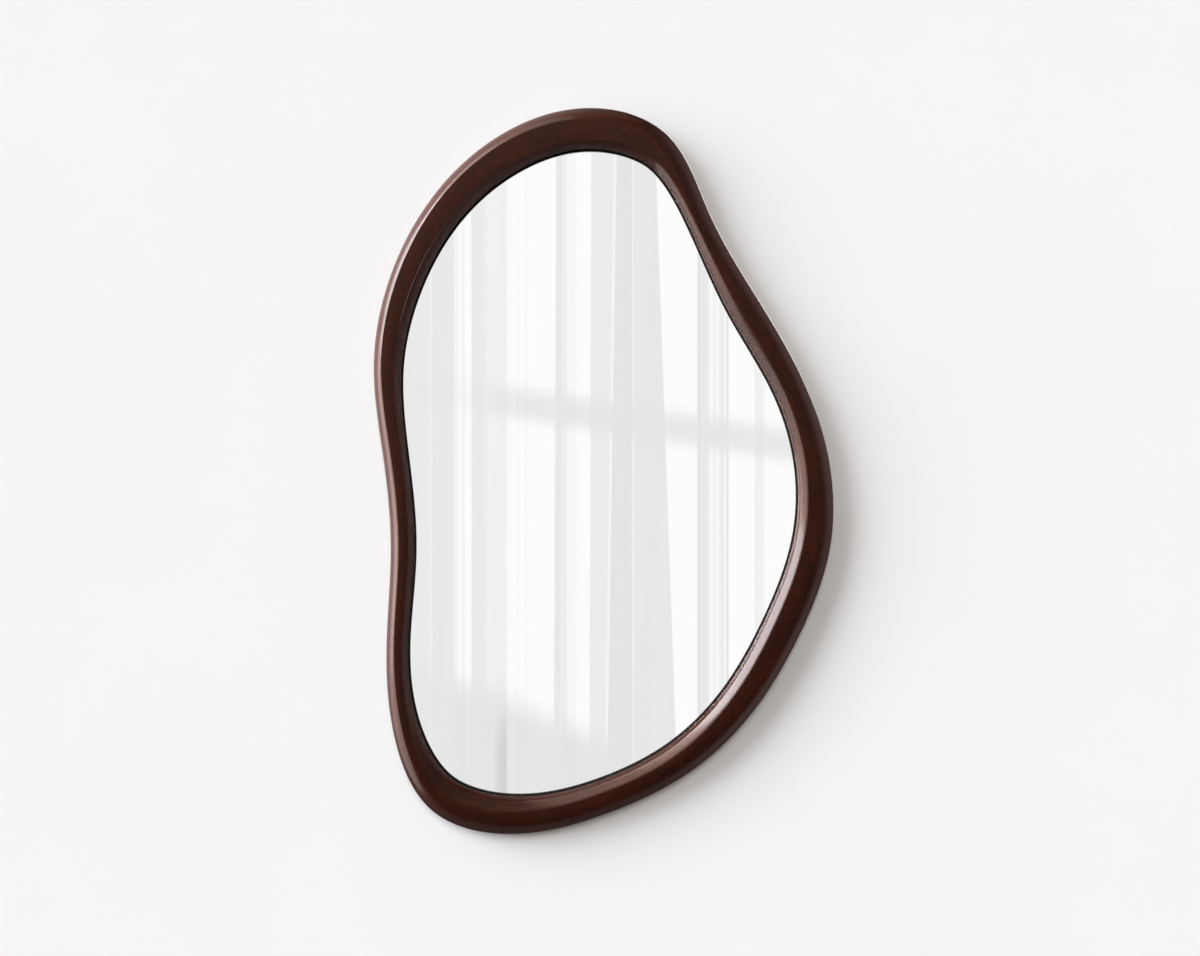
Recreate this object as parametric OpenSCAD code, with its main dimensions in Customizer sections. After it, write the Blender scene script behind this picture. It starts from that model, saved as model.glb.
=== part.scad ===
// Wall mirror with a free-form frame of stained wood.
// The wall is the plane Y = 0, the mirror faces -Y and +Z is up.
// The origin is the middle of the outline, on the wall.

/* [Outline] */
// Overall height of the frame
mirror_h = 900; // [700:10:1100]
// Overall width of the frame
mirror_w = 570; // [460:10:700]
// Width of the frame at its widest, the top
frame_w = 51; // [46:1:56]

/* [Frame section] */
// Thickness of the wood
frame_depth = 30; // [27:0.5:36]
// Height of the straight outer side, below the rounded shoulder
side_h = 12; // [8:0.5:14]
// Drop from the middle of the face to the two creases beside it
face_crown = 0.3; // [0.2:0.1:1.2]
// Tilt of the shoulder where it meets the face
crease_tilt = 26; // [20:1:45]
// Share of the inner slope that the lip beside the glass takes
lip_share = 0.2; // [0.1:0.05:0.35]
// Height of the upright wall between the glass and the lip
lip_edge = 10; // [7:0.5:12]
// Height of the steep lip above that wall
lip_rise = 3; // [2:0.25:3.5]
// How much the inner slope bulges
slope_bulge = 0.15; // [0:0.05:1]
// Chamfer along the back outer edge
back_chamfer = 0.8; // [0.4:0.1:1.5]
// Width of the step that holds the glass
glass_step = 5.5; // [5:0.25:6.5]
// Width of the step that the back board is screwed to
board_step = 7.5; // [7:0.25:8.5]

/* [Joints of the frame] */
// Place of the first joint, counted in outline points
first_joint = 0.7; // [0.5:0.1:0.9]
// Length of a loose tenon
tenon_l = 30; // [24:1:36]
// Width of a loose tenon
tenon_w = 15; // [12:0.5:15]
// Thickness of a loose tenon
tenon_t = 5; // [4:0.5:6]
// Distance of the tenons' middle from the outer side
tenon_in = 9; // [8:0.5:10]
// Height of the tenons' middle above the back
tenon_h = 13; // [11:0.5:14]
// Room for glue at the end of each mortise
glue_room = 1; // [0.5:0.5:2]

/* [Glass and backing] */
// Thickness of the glass
glass_t = 4; // [3:0.5:5]
// Gap between the edge of the glass and the wood
glass_gap = 1; // [0.5:0.25:1.5]
// Thickness of the safety film on the glass
film_t = 0.2; // [0.1:0.1:0.4]
// Thickness of the foam tape in front of the glass
tape_t = 0.8; // [0.5:0.1:1.2]
// How far the tape shows as a black line past the lip
tape_show = 1.2; // [0.6:0.1:2]
// How far the tape reaches under the lip
tape_under = 4.2; // [2.5:0.1:4.3]
// Length of each cushion at the edge of the glass, in stations
cushion_span = 2; // [1:1:3]
// Thickness of the back board
board_t = 3; // [2.5:0.25:4]
// Depth of the recess behind the back board
board_recess = 3; // [2:0.25:4]
// Gap between the edge of the back board and the wood
board_gap = 1; // [0.5:0.25:1.5]

/* [Screws] */
// Diameter of a wood screw
screw_d = 3; // [2.5:0.1:3.5]
// Length of a wood screw
screw_l = 12; // [10:0.5:14]
// Diameter of a screw's head
screw_head_d = 5.6; // [5:0.1:6.4]
// Height of a screw's head
screw_head_h = 1.6; // [1.2:0.1:2]
// Clearance round a screw
screw_gap = 0.05; // [0.02:0.01:0.2]
// Number of board screws in each piece of the frame
screws_each = 2; // [1:1:3]

/* [Hangers] */
// Place of the left hanger, counted in outline points
left_hanger = 17.7; // [17.4:0.05:18]
// Place of the right hanger, counted in outline points
right_hanger = 3.15; // [2.9:0.05:3.3]
// Diameter of the ring's wire
wire_d = 2.4; // [2:0.1:2.6]
// Running clearance of the ring in its eye
eye_gap = 0.05; // [0.03:0.01:0.08]
// Thickness of the strap
strap_t = 1; // [0.8:0.1:1.1]
// Width of the strap
strap_w = 9.4; // [8:0.2:11]
// Length of the strap, from the ring's axis
strap_l = 20; // [19:0.5:24]
// Clearance between the strap and the ring's legs
leg_gap = 0.3; // [0.2:0.1:0.6]
// Length of the ring's straight legs
leg_l = 2.5; // [2:0.25:4]
// Distance from the ring's axis to the first screw
first_screw = 5.5; // [5.5:0.25:6]
// Distance between the two screws of a strap
screw_pitch = 10; // [9:0.5:12]
// Slit where the rolled eye meets the strap
eye_slit = 0.4; // [0.3:0.1:0.8]
// How far the rolled eye is pressed flat on the side of the wood
eye_flat = 0.1; // [0.05:0.05:0.3]

/* [Bumpers] */
// Height of a bumper, the frame's distance from the wall
bumper_h = 5; // [5:0.25:8]
// Diameter of a bumper
bumper_d = 12; // [9:0.5:14]
// Chamfer at the wall end of a bumper
bumper_chamfer = 1; // [0.5:0.25:1.5]

/* [Hidden] */

// Stations where the cushions at the edge of the glass begin
cushion_starts = [42, 72, 92, 122];
// Places of the bumpers, counted in outline points: right of the top, then clockwise
bumper_places = [1.2, 8, 11.6, 19.5];

// Colours
wood = [0.24, 0.12, 0.09];
tenon_wood = [0.80, 0.66, 0.46];
silver = [0.93, 0.94, 0.95];
film_white = [0.82, 0.84, 0.86];
foam_black = [0.07, 0.06, 0.06];
clear_rubber = [0.80, 0.80, 0.78];
board_brown = [0.58, 0.44, 0.31];
zinc = [0.74, 0.75, 0.77];

// The outline as it is drawn, clockwise from the top. Each row is a point on the
// outer edge and the frame there: x, z, width, inner slope, outer shoulder.
outline = [
    [ -26,  449, 51.0,  7.5, 16.5],
    [  79,  417, 46.0,  8.5, 18.5],
    [ 132,  319, 31.0,  7.5, 20.0],
    [ 187,  221, 40.0, 11.0, 15.5],
    [ 243,  123, 40.0, 10.5, 13.5],
    [ 279,   17, 42.0, 10.5, 14.5],
    [ 281,  -95, 47.0, 11.0, 15.5],
    [ 244, -201, 47.5, 11.5, 14.5],
    [ 186, -297, 45.0, 12.0, 13.0],
    [ 105, -374, 42.5, 13.0, 14.5],
    [   4, -424, 42.0, 13.0, 14.0],
    [-105, -449, 46.5, 16.0, 14.0],
    [-211, -421, 47.0, 18.0, 15.5],
    [-260, -322, 33.0,  9.5, 13.5],
    [-268, -209, 27.5,  6.5, 11.0],
    [-263,  -97, 30.0,  7.0, 11.5],
    [-272,   15, 30.0,  6.0, 11.5],
    [-284,  127, 35.0,  8.0, 11.0],
    [-265,  237, 40.5,  9.5, 11.0],
    [-213,  337, 44.5,  8.5, 11.5],
    [-132,  413, 49.0,  7.5, 13.5]
];
spans = len(outline);

// Control points of the closed cubic curve that runs through the outline points
relax_passes = 24;
function wrap(i) = (i + 10 * spans) % spans;
function relax(c, n) = n == 0 ? c : relax(
    [for (i = [0:spans - 1])
        (6 * outline[i] - c[wrap(i - 1)] - c[wrap(i + 1)]) / 4], n - 1);
drawn_control = relax(outline, relax_passes);

// The curve's row at any place t, counted in outline points, and its slope there
function curve_at(c, t) =
    let (i = floor(t), f = t - i, g = 1 - f)
    (g * g * g * c[wrap(i - 1)] + (3 * f * f * f - 6 * f * f + 4) * c[wrap(i)]
     + (3 * g * g * g - 6 * g * g + 4) * c[wrap(i + 1)]
     + f * f * f * c[wrap(i + 2)]) / 6;
function curve_slope(c, t) =
    let (i = floor(t), f = t - i, g = 1 - f)
    -g * g * c[wrap(i - 1)] + (3 * f * f - 4 * f) * c[wrap(i)]
    + (4 * g - 3 * g * g) * c[wrap(i + 1)] + f * f * c[wrap(i + 2)];

// The frame is cut into pieces, each with the same number of stations
pieces = 7;
stations_each = 26;
stations = pieces * stations_each;
function station_at(k) = first_joint + spans * k / stations;

// The box of the outline as drawn, and the curve again at the mirror's size and place
drawn = [for (k = [0:stations - 1]) curve_at(drawn_control, station_at(k))];
low = [for (i = [0, 1]) min([for (p = drawn) p[i]])];
high = [for (i = [0, 1]) max([for (p = drawn) p[i]])];
middle = (low + high) / 2;
width_scale = frame_w / max([for (p = outline) p[2]]);
control = [for (c = drawn_control)
    [(c[0] - middle[0]) * mirror_w / (high[0] - low[0]),
     (c[1] - middle[1]) * mirror_h / (high[1] - low[1]),
     c[2] * width_scale, c[3] * width_scale, c[4] * width_scale]];
function row_at(t) = curve_at(control, t);
function slope_at(t) = curve_slope(control, t);

// Unit vectors along the edge and square to it, towards the glass, as [x, z]
function along(t) = let (s = slope_at(t)) [s[0], s[1]] / norm([s[0], s[1]]);
function inward(t) = let (a = along(t)) [a[1], -a[0]];
function place(t, u) =
    let (r = row_at(t), n = inward(t)) [r[0] + n[0] * u, r[1] + n[1] * u];
// The same, measured out from the edge of the glass opening
function from_lip(t, d) = place(t, row_at(t)[2] - d);

// Heights above the back of the frame
film_h = board_recess + board_t;
glass_h = film_h + film_t;
tape_h = glass_h + glass_t;
sight_h = tape_h + tape_t;
lip_h = sight_h + lip_edge;
slope_h = lip_h + lip_rise;
crease_h = frame_depth - face_crown;

// The frame's section at place t as [distance from the outer side, height].
// The front runs from the outer side to the glass, the back returns in two steps.
arc_steps = 6;
face_steps = 4;
slope_steps = 3;
function shoulder_point(s, i) =
    let (a = 90 - (90 - crease_tilt) * i / arc_steps,
         reach = s / (1 - sin(crease_tilt)),
         rise = (crease_h - side_h) / cos(crease_tilt))
    [reach * (1 - sin(a)), side_h + rise * cos(a)];
function face_point(a, b, i) =
    let (f = i / face_steps)
    [a + (b - a) * f, frame_depth - face_crown * pow(2 * f - 1, 2)];
function slope_point(a, b, i) =
    let (f = i / slope_steps)
    [a + (b - a) * f,
     crease_h + (slope_h - crease_h) * f + 4 * slope_bulge * f * (1 - f)];
function section(t) =
    let (r = row_at(t), w = r[2], crease = w - r[3], lip = w - r[3] * lip_share,
         s = min(r[4], crease - 1))
    concat(
        [[back_chamfer, 0], [0, back_chamfer]],
        [for (i = [0:arc_steps]) shoulder_point(s, i)],
        [for (i = [1:face_steps]) face_point(s, crease, i)],
        [for (i = [1:slope_steps]) slope_point(crease, lip, i)],
        [[w, lip_h], [w, sight_h], [w - glass_step, sight_h],
         [w - glass_step, film_h], [w - glass_step - board_step, film_h],
         [w - glass_step - board_step, 0]]);
around = 9 + arc_steps + face_steps + slope_steps;

// Point numbers at the section's corners, used to close a piece's two ends
shoulder_end = 2 + arc_steps;
face_end = shoulder_end + face_steps;
lip_end = face_end + slope_steps + 2;
end_faces = concat(
    [for (i = [0:shoulder_end - 1]) [around - 1, i, i + 1]],
    [[around - 1, shoulder_end, around - 2]],
    [for (i = [shoulder_end:face_end - 1]) [around - 2, i, i + 1]],
    [[around - 2, face_end, around - 3], [around - 3, face_end, around - 4]],
    [for (i = [face_end:lip_end - 1]) [around - 4, i, i + 1]]);

// Sets a child at place t and distance u from the outer side, on the frame's back:
// its X runs along the edge, its Y towards the glass and its Z towards the wall
module on_back(t, u) {
    p = place(t, u);
    a = along(t);
    n = inward(t);
    multmatrix([[a[0], n[0], 0, p[0]],
                [0, 0, 1, -bumper_h],
                [a[1], n[1], 0, p[1]],
                [0, 0, 0, 1]])
        children();
}

// A sheet with its outline in x and z, from height h above the frame's back
module sheet(h, t) {
    translate([0, -bumper_h - h, 0])
        rotate([90, 0, 0])
            linear_extrude(t)
                children();
}

// Outline of a bar with two round ends, its length along X
end_sides = 8;
function round_bar(long, wide) =
    [for (side = [0, 1], i = [0:end_sides])
        let (a = -90 + 180 * side + 180 * i / end_sides)
        [(1 - 2 * side) * (long - wide) / 2 + wide / 2 * cos(a), wide / 2 * sin(a)]];

// Loose tenons and their mortises, set on a joint
module tenon_shape(room) {
    long = tenon_l + 2 * room;
    translate([-long / 2, 0, -tenon_h])
        rotate([0, 90, 0])
            linear_extrude(long)
                polygon(round_bar(tenon_w, tenon_t));
}
function joint_at(j) = station_at(j * stations_each);
module tenon(j) {
    color(tenon_wood)
        on_back(joint_at(j), tenon_in)
            tenon_shape(0);
}

// Where the board screws sit: in the middle of the board's rim on its step
function screw_at(j, i) = station_at((j + (i + 0.5) / screws_each) * stations_each);
function screw_in(t) = row_at(t)[2] - glass_step - (board_step - board_gap) / 2;

// One piece of the frame between two joints
module frame_piece(j) {
    first = j * stations_each;
    points = [for (k = [first:first + stations_each])
        let (t = station_at(k), n = inward(t), r = row_at(t))
        for (s = section(t))
            [r[0] + n[0] * s[0], -bumper_h - s[1], r[1] + n[1] * s[0]]];
    last = stations_each * around;
    sides = [for (k = [0:stations_each - 1], i = [0:around - 1])
        let (a = k * around + i, b = k * around + (i + 1) % around)
        each [[a, b, b + around], [a, b + around, a + around]]];
    ends = [for (f = end_faces) each
        [[f[0], f[2], f[1]], [last + f[0], last + f[1], last + f[2]]]];
    color(wood)
        difference() {
            polyhedron(points, concat(sides, ends), convexity = 8);
            for (k = [j, j + 1])
                on_back(joint_at(k), tenon_in)
                    tenon_shape(glue_room);
            for (i = [0:screws_each - 1])
                on_back(screw_at(j, i), screw_in(screw_at(j, i)))
                    translate([0, 0, -board_recess - screw_l - screw_gap])
                        cylinder(d = screw_d + 2 * screw_gap, h = screw_l, $fn = 24);
            children();
        }
}

// Glass, film, tape, cushions and back board
module ring_sheet(outer, inner) {
    difference() {
        polygon([for (k = [0:stations - 1]) from_lip(station_at(k), outer)]);
        polygon([for (k = [0:stations - 1]) from_lip(station_at(k), inner)]);
    }
}
module mirror_glass() {
    color(silver)
        sheet(glass_h, glass_t)
            polygon([for (k = [0:stations - 1])
                from_lip(station_at(k), glass_step - glass_gap)]);
}
module safety_film() {
    color(film_white)
        sheet(film_h, film_t)
            polygon([for (k = [0:stations - 1])
                from_lip(station_at(k), glass_step - glass_gap)]);
}
module glazing_tape() {
    color(foam_black)
        sheet(tape_h, tape_t)
            ring_sheet(tape_under, -tape_show);
}
module edge_cushion(n) {
    start = cushion_starts[n];
    list = [for (i = [start:start + cushion_span]) station_at(i)];
    color(clear_rubber)
        sheet(glass_h, glass_t)
            polygon(concat(
                [for (t = list) from_lip(t, glass_step)],
                [for (i = [len(list) - 1:-1:0]) from_lip(list[i], glass_step - glass_gap)]));
}
module back_board() {
    color(board_brown)
        difference() {
            sheet(board_recess, board_t)
                polygon([for (k = [0:stations - 1])
                    from_lip(station_at(k), glass_step + board_step - board_gap)]);
            board_screw_places()
                screw(screw_gap);
        }
}

// A countersunk screw, head flush with the plane Z = 0 and its tip below
module screw(room) {
    rotate_extrude($fn = 32)
        polygon([[0, room], [screw_head_d / 2 + room, room],
                 [screw_head_d / 2 + room, 0],
                 [screw_d / 2 + room, -screw_head_h],
                 [screw_d / 2 + room, -screw_l + screw_d / 2],
                 [0, -screw_l]]);
}
module board_screw_places() {
    for (j = [0:pieces - 1], i = [0:screws_each - 1])
        on_back(screw_at(j, i), screw_in(screw_at(j, i)))
            translate([0, 0, -board_recess])
                children();
}
module board_screws() {
    color(zinc)
        board_screw_places()
            screw(0);
}

// Hangers. A strap lies on the frame's back along the edge with its rolled eye at
// the upper end, and the ring turns in the eye. A hole is cut a little past both faces.
wire_r = wire_d / 2;
eye_r = wire_r + eye_gap;
roll_r = eye_r + strap_t;
axis_h = roll_r - eye_flat;
ring_half = strap_w / 2 + leg_gap + wire_r;
bend_r = leg_gap + wire_r;
roll_sides = 32;
screw_places = [first_screw, first_screw + screw_pitch];
cut_past = 1;
function land_middle(t) = (row_at(t)[2] - glass_step - board_step) / 2;

// Sets a child at a ring's axis: its X runs across the strap, its Y to the ring's tip
// and its Z to the wall. The strap lies the other way. Up is 1 where the edge is
// followed upwards and -1 where it is followed downwards.
module at_hanger(t, up) {
    on_back(t, land_middle(t))
        translate([0, 0, axis_h])
            rotate([0, 0, -90 * up])
                children();
}

// Side view of a strap: the plate, then the roll back over the eye to a narrow slit
module strap_side() {
    plate_top = -axis_h + strap_t;
    start = -asin(axis_h / roll_r);
    stop = 180 - asin((plate_top + eye_slit) / roll_r);
    polygon(concat(
        [[-strap_l, -axis_h]],
        [for (i = [0:roll_sides])
            let (a = start + (stop - start) * i / roll_sides)
            roll_r * [cos(a), sin(a)]],
        [eye_r / 2 * [cos(stop), sin(stop)],
         [-eye_r / 8, plate_top], [-strap_l, plate_top]]));
}
// The strap seen from the wall: square at the roll, round at the other end
module strap_plan() {
    half = strap_w / 2;
    polygon(concat(
        [[-half, roll_r]],
        [for (i = [0:2 * end_sides])
            let (a = 180 + 90 * i / end_sides)
            [half * cos(a), half - strap_l + half * sin(a)]],
        [[half, roll_r]]));
}
module hanger_strap(t, up) {
    color(zinc)
        at_hanger(t, up)
            difference() {
                intersection() {
                    rotate([90, 0, 90])
                        translate([0, 0, -strap_w / 2])
                            linear_extrude(strap_w)
                                strap_side();
                    translate([0, 0, -axis_h])
                        linear_extrude(axis_h + roll_r)
                            strap_plan();
                }
                rotate([0, 90, 0])
                    cylinder(r = eye_r, h = strap_w + 2 * cut_past, center = true, $fn = 48);
                for (y = screw_places)
                    translate([0, -y, -axis_h - cut_past])
                        cylinder(d = screw_d + 2 * screw_gap,
                                 h = strap_t + 2 * cut_past, $fn = 24);
            }
}
module hanger_ring(t, up) {
    bow_y = bend_r + leg_l;
    color(zinc)
        at_hanger(t, up) {
            rotate([0, 90, 0])
                cylinder(r = wire_r, h = strap_w, center = true, $fn = 32);
            for (side = [-1, 1]) {
                translate([side * strap_w / 2, bend_r, 0])
                    rotate([0, 0, side > 0 ? -90 : 180])
                        rotate_extrude(angle = 90, $fn = 48)
                            translate([bend_r, 0])
                                circle(r = wire_r, $fn = 32);
                translate([side * ring_half, bend_r, 0])
                    rotate([-90, 0, 0])
                        cylinder(r = wire_r, h = leg_l, $fn = 32);
            }
            translate([0, bow_y, 0])
                rotate_extrude(angle = 180, $fn = 64)
                    translate([ring_half, 0])
                        circle(r = wire_r, $fn = 32);
        }
}

// A round-head screw that stands on the plane Z = 0, its tip below
module round_screw() {
    rotate_extrude($fn = 32)
        polygon([[0, screw_head_h], [screw_head_d / 4, screw_head_h],
                 [screw_head_d / 2, screw_head_h / 3], [screw_head_d / 2, 0],
                 [screw_d / 2, 0], [screw_d / 2, -screw_l + screw_d / 2],
                 [0, -screw_l]]);
}
module at_hanger_screws(t, up) {
    for (y = screw_places)
        at_hanger(t, up)
            translate([0, -y, strap_t - axis_h])
                children();
}
module hanger_pilots(t, up) {
    at_hanger_screws(t, up)
        translate([0, 0, -screw_l - screw_gap])
            cylinder(d = screw_d + 2 * screw_gap, h = screw_l, $fn = 24);
}
module hanger_screws() {
    color(zinc) {
        at_hanger_screws(left_hanger, 1)
            round_screw();
        at_hanger_screws(right_hanger, -1)
            round_screw();
    }
}

// Bumpers, stuck to the middle of the frame's flat back
module bumper(n) {
    t = bumper_places[n];
    r = bumper_d / 2;
    color(clear_rubber)
        on_back(t, land_middle(t))
            rotate_extrude($fn = 48)
                polygon([[0, 0], [r, 0], [r, bumper_h - bumper_chamfer],
                         [r - bumper_chamfer, bumper_h], [0, bumper_h]]);
}

frame_piece(0) hanger_pilots(right_hanger, -1);  // frame_upper_right
frame_piece(1);  // frame_right
frame_piece(2);  // frame_lower_right
frame_piece(3);  // frame_bottom_left
frame_piece(4);  // frame_lower_left
frame_piece(5) hanger_pilots(left_hanger, 1);  // frame_upper_left
frame_piece(6);  // frame_top
tenon(0);  // tenon_top_right
tenon(1);  // tenon_right
tenon(2);  // tenon_lower_right
tenon(3);  // tenon_bottom
tenon(4);  // tenon_lower_left
tenon(5);  // tenon_left
tenon(6);  // tenon_top_left
mirror_glass();
safety_film();
glazing_tape();
edge_cushion(0);  // edge_cushion_right
edge_cushion(1);  // edge_cushion_bottom_right
edge_cushion(2);  // edge_cushion_bottom_left
edge_cushion(3);  // edge_cushion_left
back_board();
board_screws();
hanger_strap(left_hanger, 1);  // hanger_strap_left
hanger_strap(right_hanger, -1);  // hanger_strap_right
hanger_ring(left_hanger, 1);  // hanger_ring_left
hanger_ring(right_hanger, -1);  // hanger_ring_right
hanger_screws();
bumper(0);  // bumper_top_right
bumper(1);  // bumper_bottom_right
bumper(2);  // bumper_bottom_left
bumper(3);  // bumper_top_left
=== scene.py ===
"""Looks of a wall mirror with a free-form frame of stained wood.

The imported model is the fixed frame, and every piece here sits where its node is, in metres.
The wall is the plane Y = 0, the mirror faces -Y and +Z is up. Sizes in this file are in
millimetres where they describe the joinery, and MM turns them into metres.
"""

import logging
import math
from contextlib import contextmanager
from dataclasses import dataclass, field
from enum import Enum
from typing import Any, Callable, Iterator, Sequence

import bmesh
import bpy
import numpy as np
from mathutils import Matrix, Vector


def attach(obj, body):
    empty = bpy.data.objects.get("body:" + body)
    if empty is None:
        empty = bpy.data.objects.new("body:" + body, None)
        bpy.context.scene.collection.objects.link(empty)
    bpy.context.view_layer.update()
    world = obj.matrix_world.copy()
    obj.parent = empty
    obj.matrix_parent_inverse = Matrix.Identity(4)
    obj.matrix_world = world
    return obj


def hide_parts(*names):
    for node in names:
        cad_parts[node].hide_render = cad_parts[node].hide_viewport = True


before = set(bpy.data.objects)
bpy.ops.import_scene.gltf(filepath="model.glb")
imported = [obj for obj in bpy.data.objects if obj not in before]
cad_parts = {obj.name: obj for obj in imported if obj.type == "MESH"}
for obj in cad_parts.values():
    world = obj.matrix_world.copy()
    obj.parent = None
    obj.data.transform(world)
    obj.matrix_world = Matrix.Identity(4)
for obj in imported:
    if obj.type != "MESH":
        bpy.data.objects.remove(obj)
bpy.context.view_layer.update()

LOG = logging.getLogger("wall_mirror")
MM = 0.001
GRAIN = "grain"

Colour = tuple[float, float, float]
Pair = tuple[float, float]
Feeds = dict[Any, Any]
WHITE: Colour = (1.0, 1.0, 1.0)

# half the step over which the outline's direction is taken, counted in outline points
NUDGE = 1e-4
# the share of a unit vector that has to lie along an axis for it to point that way
FACING = 0.9


class Body(Enum):
    """The bodies that pieces ride on."""

    MIRROR = "mirror"
    RING_LEFT = "ring_left"
    RING_RIGHT = "ring_right"


class Slot(Enum):
    """The record's material slots, which the log names for each piece made here."""

    FRAME_WOOD = "frame_wood"
    TENON_WOOD = "tenon_wood"
    GLASS = "silvered_glass"
    RUBBER = "clear_rubber"
    ZINC = "zinc_steel"


# the bench


def clear_selection() -> None:
    """Deselects every object, so that an operator acts only on what is picked."""
    bpy.ops.object.select_all(action="DESELECT")


def hold(piece: bpy.types.Object) -> None:
    """Makes one piece the only selected and the active object.

    Args:
        piece: the object to work on.
    """
    clear_selection()
    piece.select_set(True)
    bpy.context.view_layer.objects.active = piece


@contextmanager
def edit_mode(piece: bpy.types.Object) -> Iterator[bmesh.types.BMesh]:
    """Opens a piece in edit mode with nothing selected, and closes it again.

    Args:
        piece: the object to edit.

    Yields:
        The mesh being edited.
    """
    hold(piece)
    bpy.ops.object.mode_set(mode="EDIT")
    bpy.ops.mesh.select_all(action="DESELECT")
    yield bmesh.from_edit_mesh(piece.data)
    bpy.ops.object.mode_set(mode="OBJECT")


def pick_faces(mesh: bmesh.types.BMesh, wanted: Callable[[bmesh.types.BMFace], bool]) -> None:
    """Selects the faces of a mesh in edit mode that pass a test, and no others."""
    for face in mesh.faces:
        face.select_set(wanted(face))


def apply_modifier(piece: bpy.types.Object, kind: str, **settings: Any) -> None:
    """Adds a modifier with its settings and applies it.

    Args:
        piece: the object to change.
        kind: Blender's name of the modifier type.
        **settings: the modifier's own settings.
    """
    hold(piece)
    modifier = piece.modifiers.new(kind.lower(), kind)
    for name, value in settings.items():
        setattr(modifier, name, value)
    bpy.ops.object.modifier_apply(modifier=modifier.name)


def ease_edges(piece: bpy.types.Object, width_mm: float, degrees: float) -> None:
    """Rounds the edges of a piece that are sharper than an angle."""
    settings = {"limit_method": "ANGLE", "angle_limit": math.radians(degrees)}
    apply_modifier(piece, "BEVEL", width=width_mm * MM, segments=2, **settings)


def smooth(piece: bpy.types.Object, degrees: float = 32) -> None:
    """Shades a piece smooth, with edges sharper than an angle left crisp."""
    hold(piece)
    bpy.ops.object.shade_smooth_by_angle(angle=math.radians(degrees))


def new_object(name: str, data: Any) -> bpy.types.Object:
    """Puts an object with its data into the scene.

    Args:
        name: the object's name.
        data: its mesh, curve, lamp or camera.

    Returns:
        The object.
    """
    piece = bpy.data.objects.new(name, data)
    bpy.context.scene.collection.objects.link(piece)
    return piece


def shell(
    name: str, points: Sequence[Sequence[float]], faces: Sequence[Sequence[int]]
) -> bpy.types.Object:
    """Makes an object from points and faces, its place in its mesh.

    Args:
        name: the piece's name.
        points: the corners, in metres.
        faces: corner numbers of each face, seen from outside.

    Returns:
        The new object.
    """
    mesh = bpy.data.meshes.new(name)
    mesh.from_pydata(points, [], faces)
    mesh.update()
    return new_object(name, mesh)


def face_outwards(piece: bpy.types.Object) -> None:
    """Turns every face of a closed piece to look outwards.

    Args:
        piece: the object to change.
    """
    with edit_mode(piece):
        bpy.ops.mesh.select_all(action="SELECT")
        bpy.ops.mesh.normals_make_consistent(inside=False)


def turned(name: str, steps: Sequence[Pair], sides: int = 40) -> bpy.types.Object:
    """Turns a solid about Z from a disc that is extruded and scaled, step by step.

    Args:
        name: the piece's name.
        steps: radius and height of each step, in millimetres, from the top down.
        sides: number of sides.

    Returns:
        The turned solid.
    """
    radius, height = steps[0]
    clear_selection()
    bpy.ops.mesh.primitive_circle_add(
        vertices=sides, radius=radius * MM, fill_type="NGON", location=(0, 0, height * MM)
    )
    piece = bpy.context.object
    piece.name = piece.data.name = name
    bpy.ops.object.transform_apply(location=True, rotation=True, scale=True)
    with edit_mode(piece):
        bpy.ops.mesh.select_all(action="SELECT")
        for next_radius, next_height in steps[1:]:
            move = (0, 0, (next_height - height) * MM)
            bpy.ops.mesh.extrude_region_move(TRANSFORM_OT_translate={"value": move})
            ratio = next_radius / radius
            bpy.ops.transform.resize(
                value=(ratio, ratio, 1), center_override=(0, 0, next_height * MM)
            )
            radius, height = next_radius, next_height
    face_outwards(piece)
    return piece


def slab(
    name: str, size: Sequence[float], middle: Sequence[float], taper: float
) -> bpy.types.Object:
    """A block whose lower end is narrower, to cut a recess with.

    Args:
        name: the piece's name.
        size: length along X, Y and Z in millimetres.
        middle: its middle in millimetres.
        taper: size of the lower end as a share of the upper end.

    Returns:
        The block.
    """
    clear_selection()
    bpy.ops.mesh.primitive_cube_add(size=1)
    piece = bpy.context.object
    piece.name = piece.data.name = name
    piece.data.transform(
        Matrix.Translation(Vector(middle) * MM) @ Matrix.Diagonal((*[s * MM for s in size], 1))
    )
    foot = (Vector(middle) - Vector((0, 0, size[2] / 2))) * MM
    with edit_mode(piece) as mesh:
        pick_faces(mesh, lambda face: face.normal.z < -FACING)
        bpy.ops.transform.resize(value=(taper, taper, 1), center_override=foot)
    return piece


def carve(piece: bpy.types.Object, *cutters: bpy.types.Object) -> None:
    """Cuts shapes out of a piece and removes them.

    Args:
        piece: the object to cut.
        *cutters: the shapes to take away.
    """
    for cutter in cutters:
        apply_modifier(piece, "BOOLEAN", operation="DIFFERENCE", solver="EXACT", object=cutter)
        bpy.data.objects.remove(cutter)


def placed_copy(master: bpy.types.Object, name: str, matrix: Matrix) -> bpy.types.Object:
    """Copies a piece with its own mesh and puts its place in the mesh.

    Args:
        master: the piece modelled once at the origin.
        name: the copy's name.
        matrix: where the copy goes.

    Returns:
        The copy.
    """
    copy = new_object(name, master.data.copy())
    copy.data.name = name
    copy.data.transform(matrix)
    return copy


def eased_copy(node: str, name: str, width_mm: float) -> bpy.types.Object:
    """A copy of a CAD node with its corners merged and its sharp edges eased.

    Args:
        node: the CAD node.
        name: the copy's name.
        width_mm: how far the edges are eased.

    Returns:
        The copy.
    """
    piece = new_object(name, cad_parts[node].data.copy())
    piece.data.name = name
    if piece.data.has_custom_normals:
        hold(piece)
        bpy.ops.mesh.customdata_custom_splitnormals_clear()
    with edit_mode(piece):
        bpy.ops.mesh.select_all(action="SELECT")
        bpy.ops.mesh.remove_doubles(threshold=1e-6)
        bpy.ops.mesh.dissolve_limited(angle_limit=math.radians(0.5))
    ease_edges(piece, width_mm, 40)
    smooth(piece, 30)
    return piece


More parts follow.
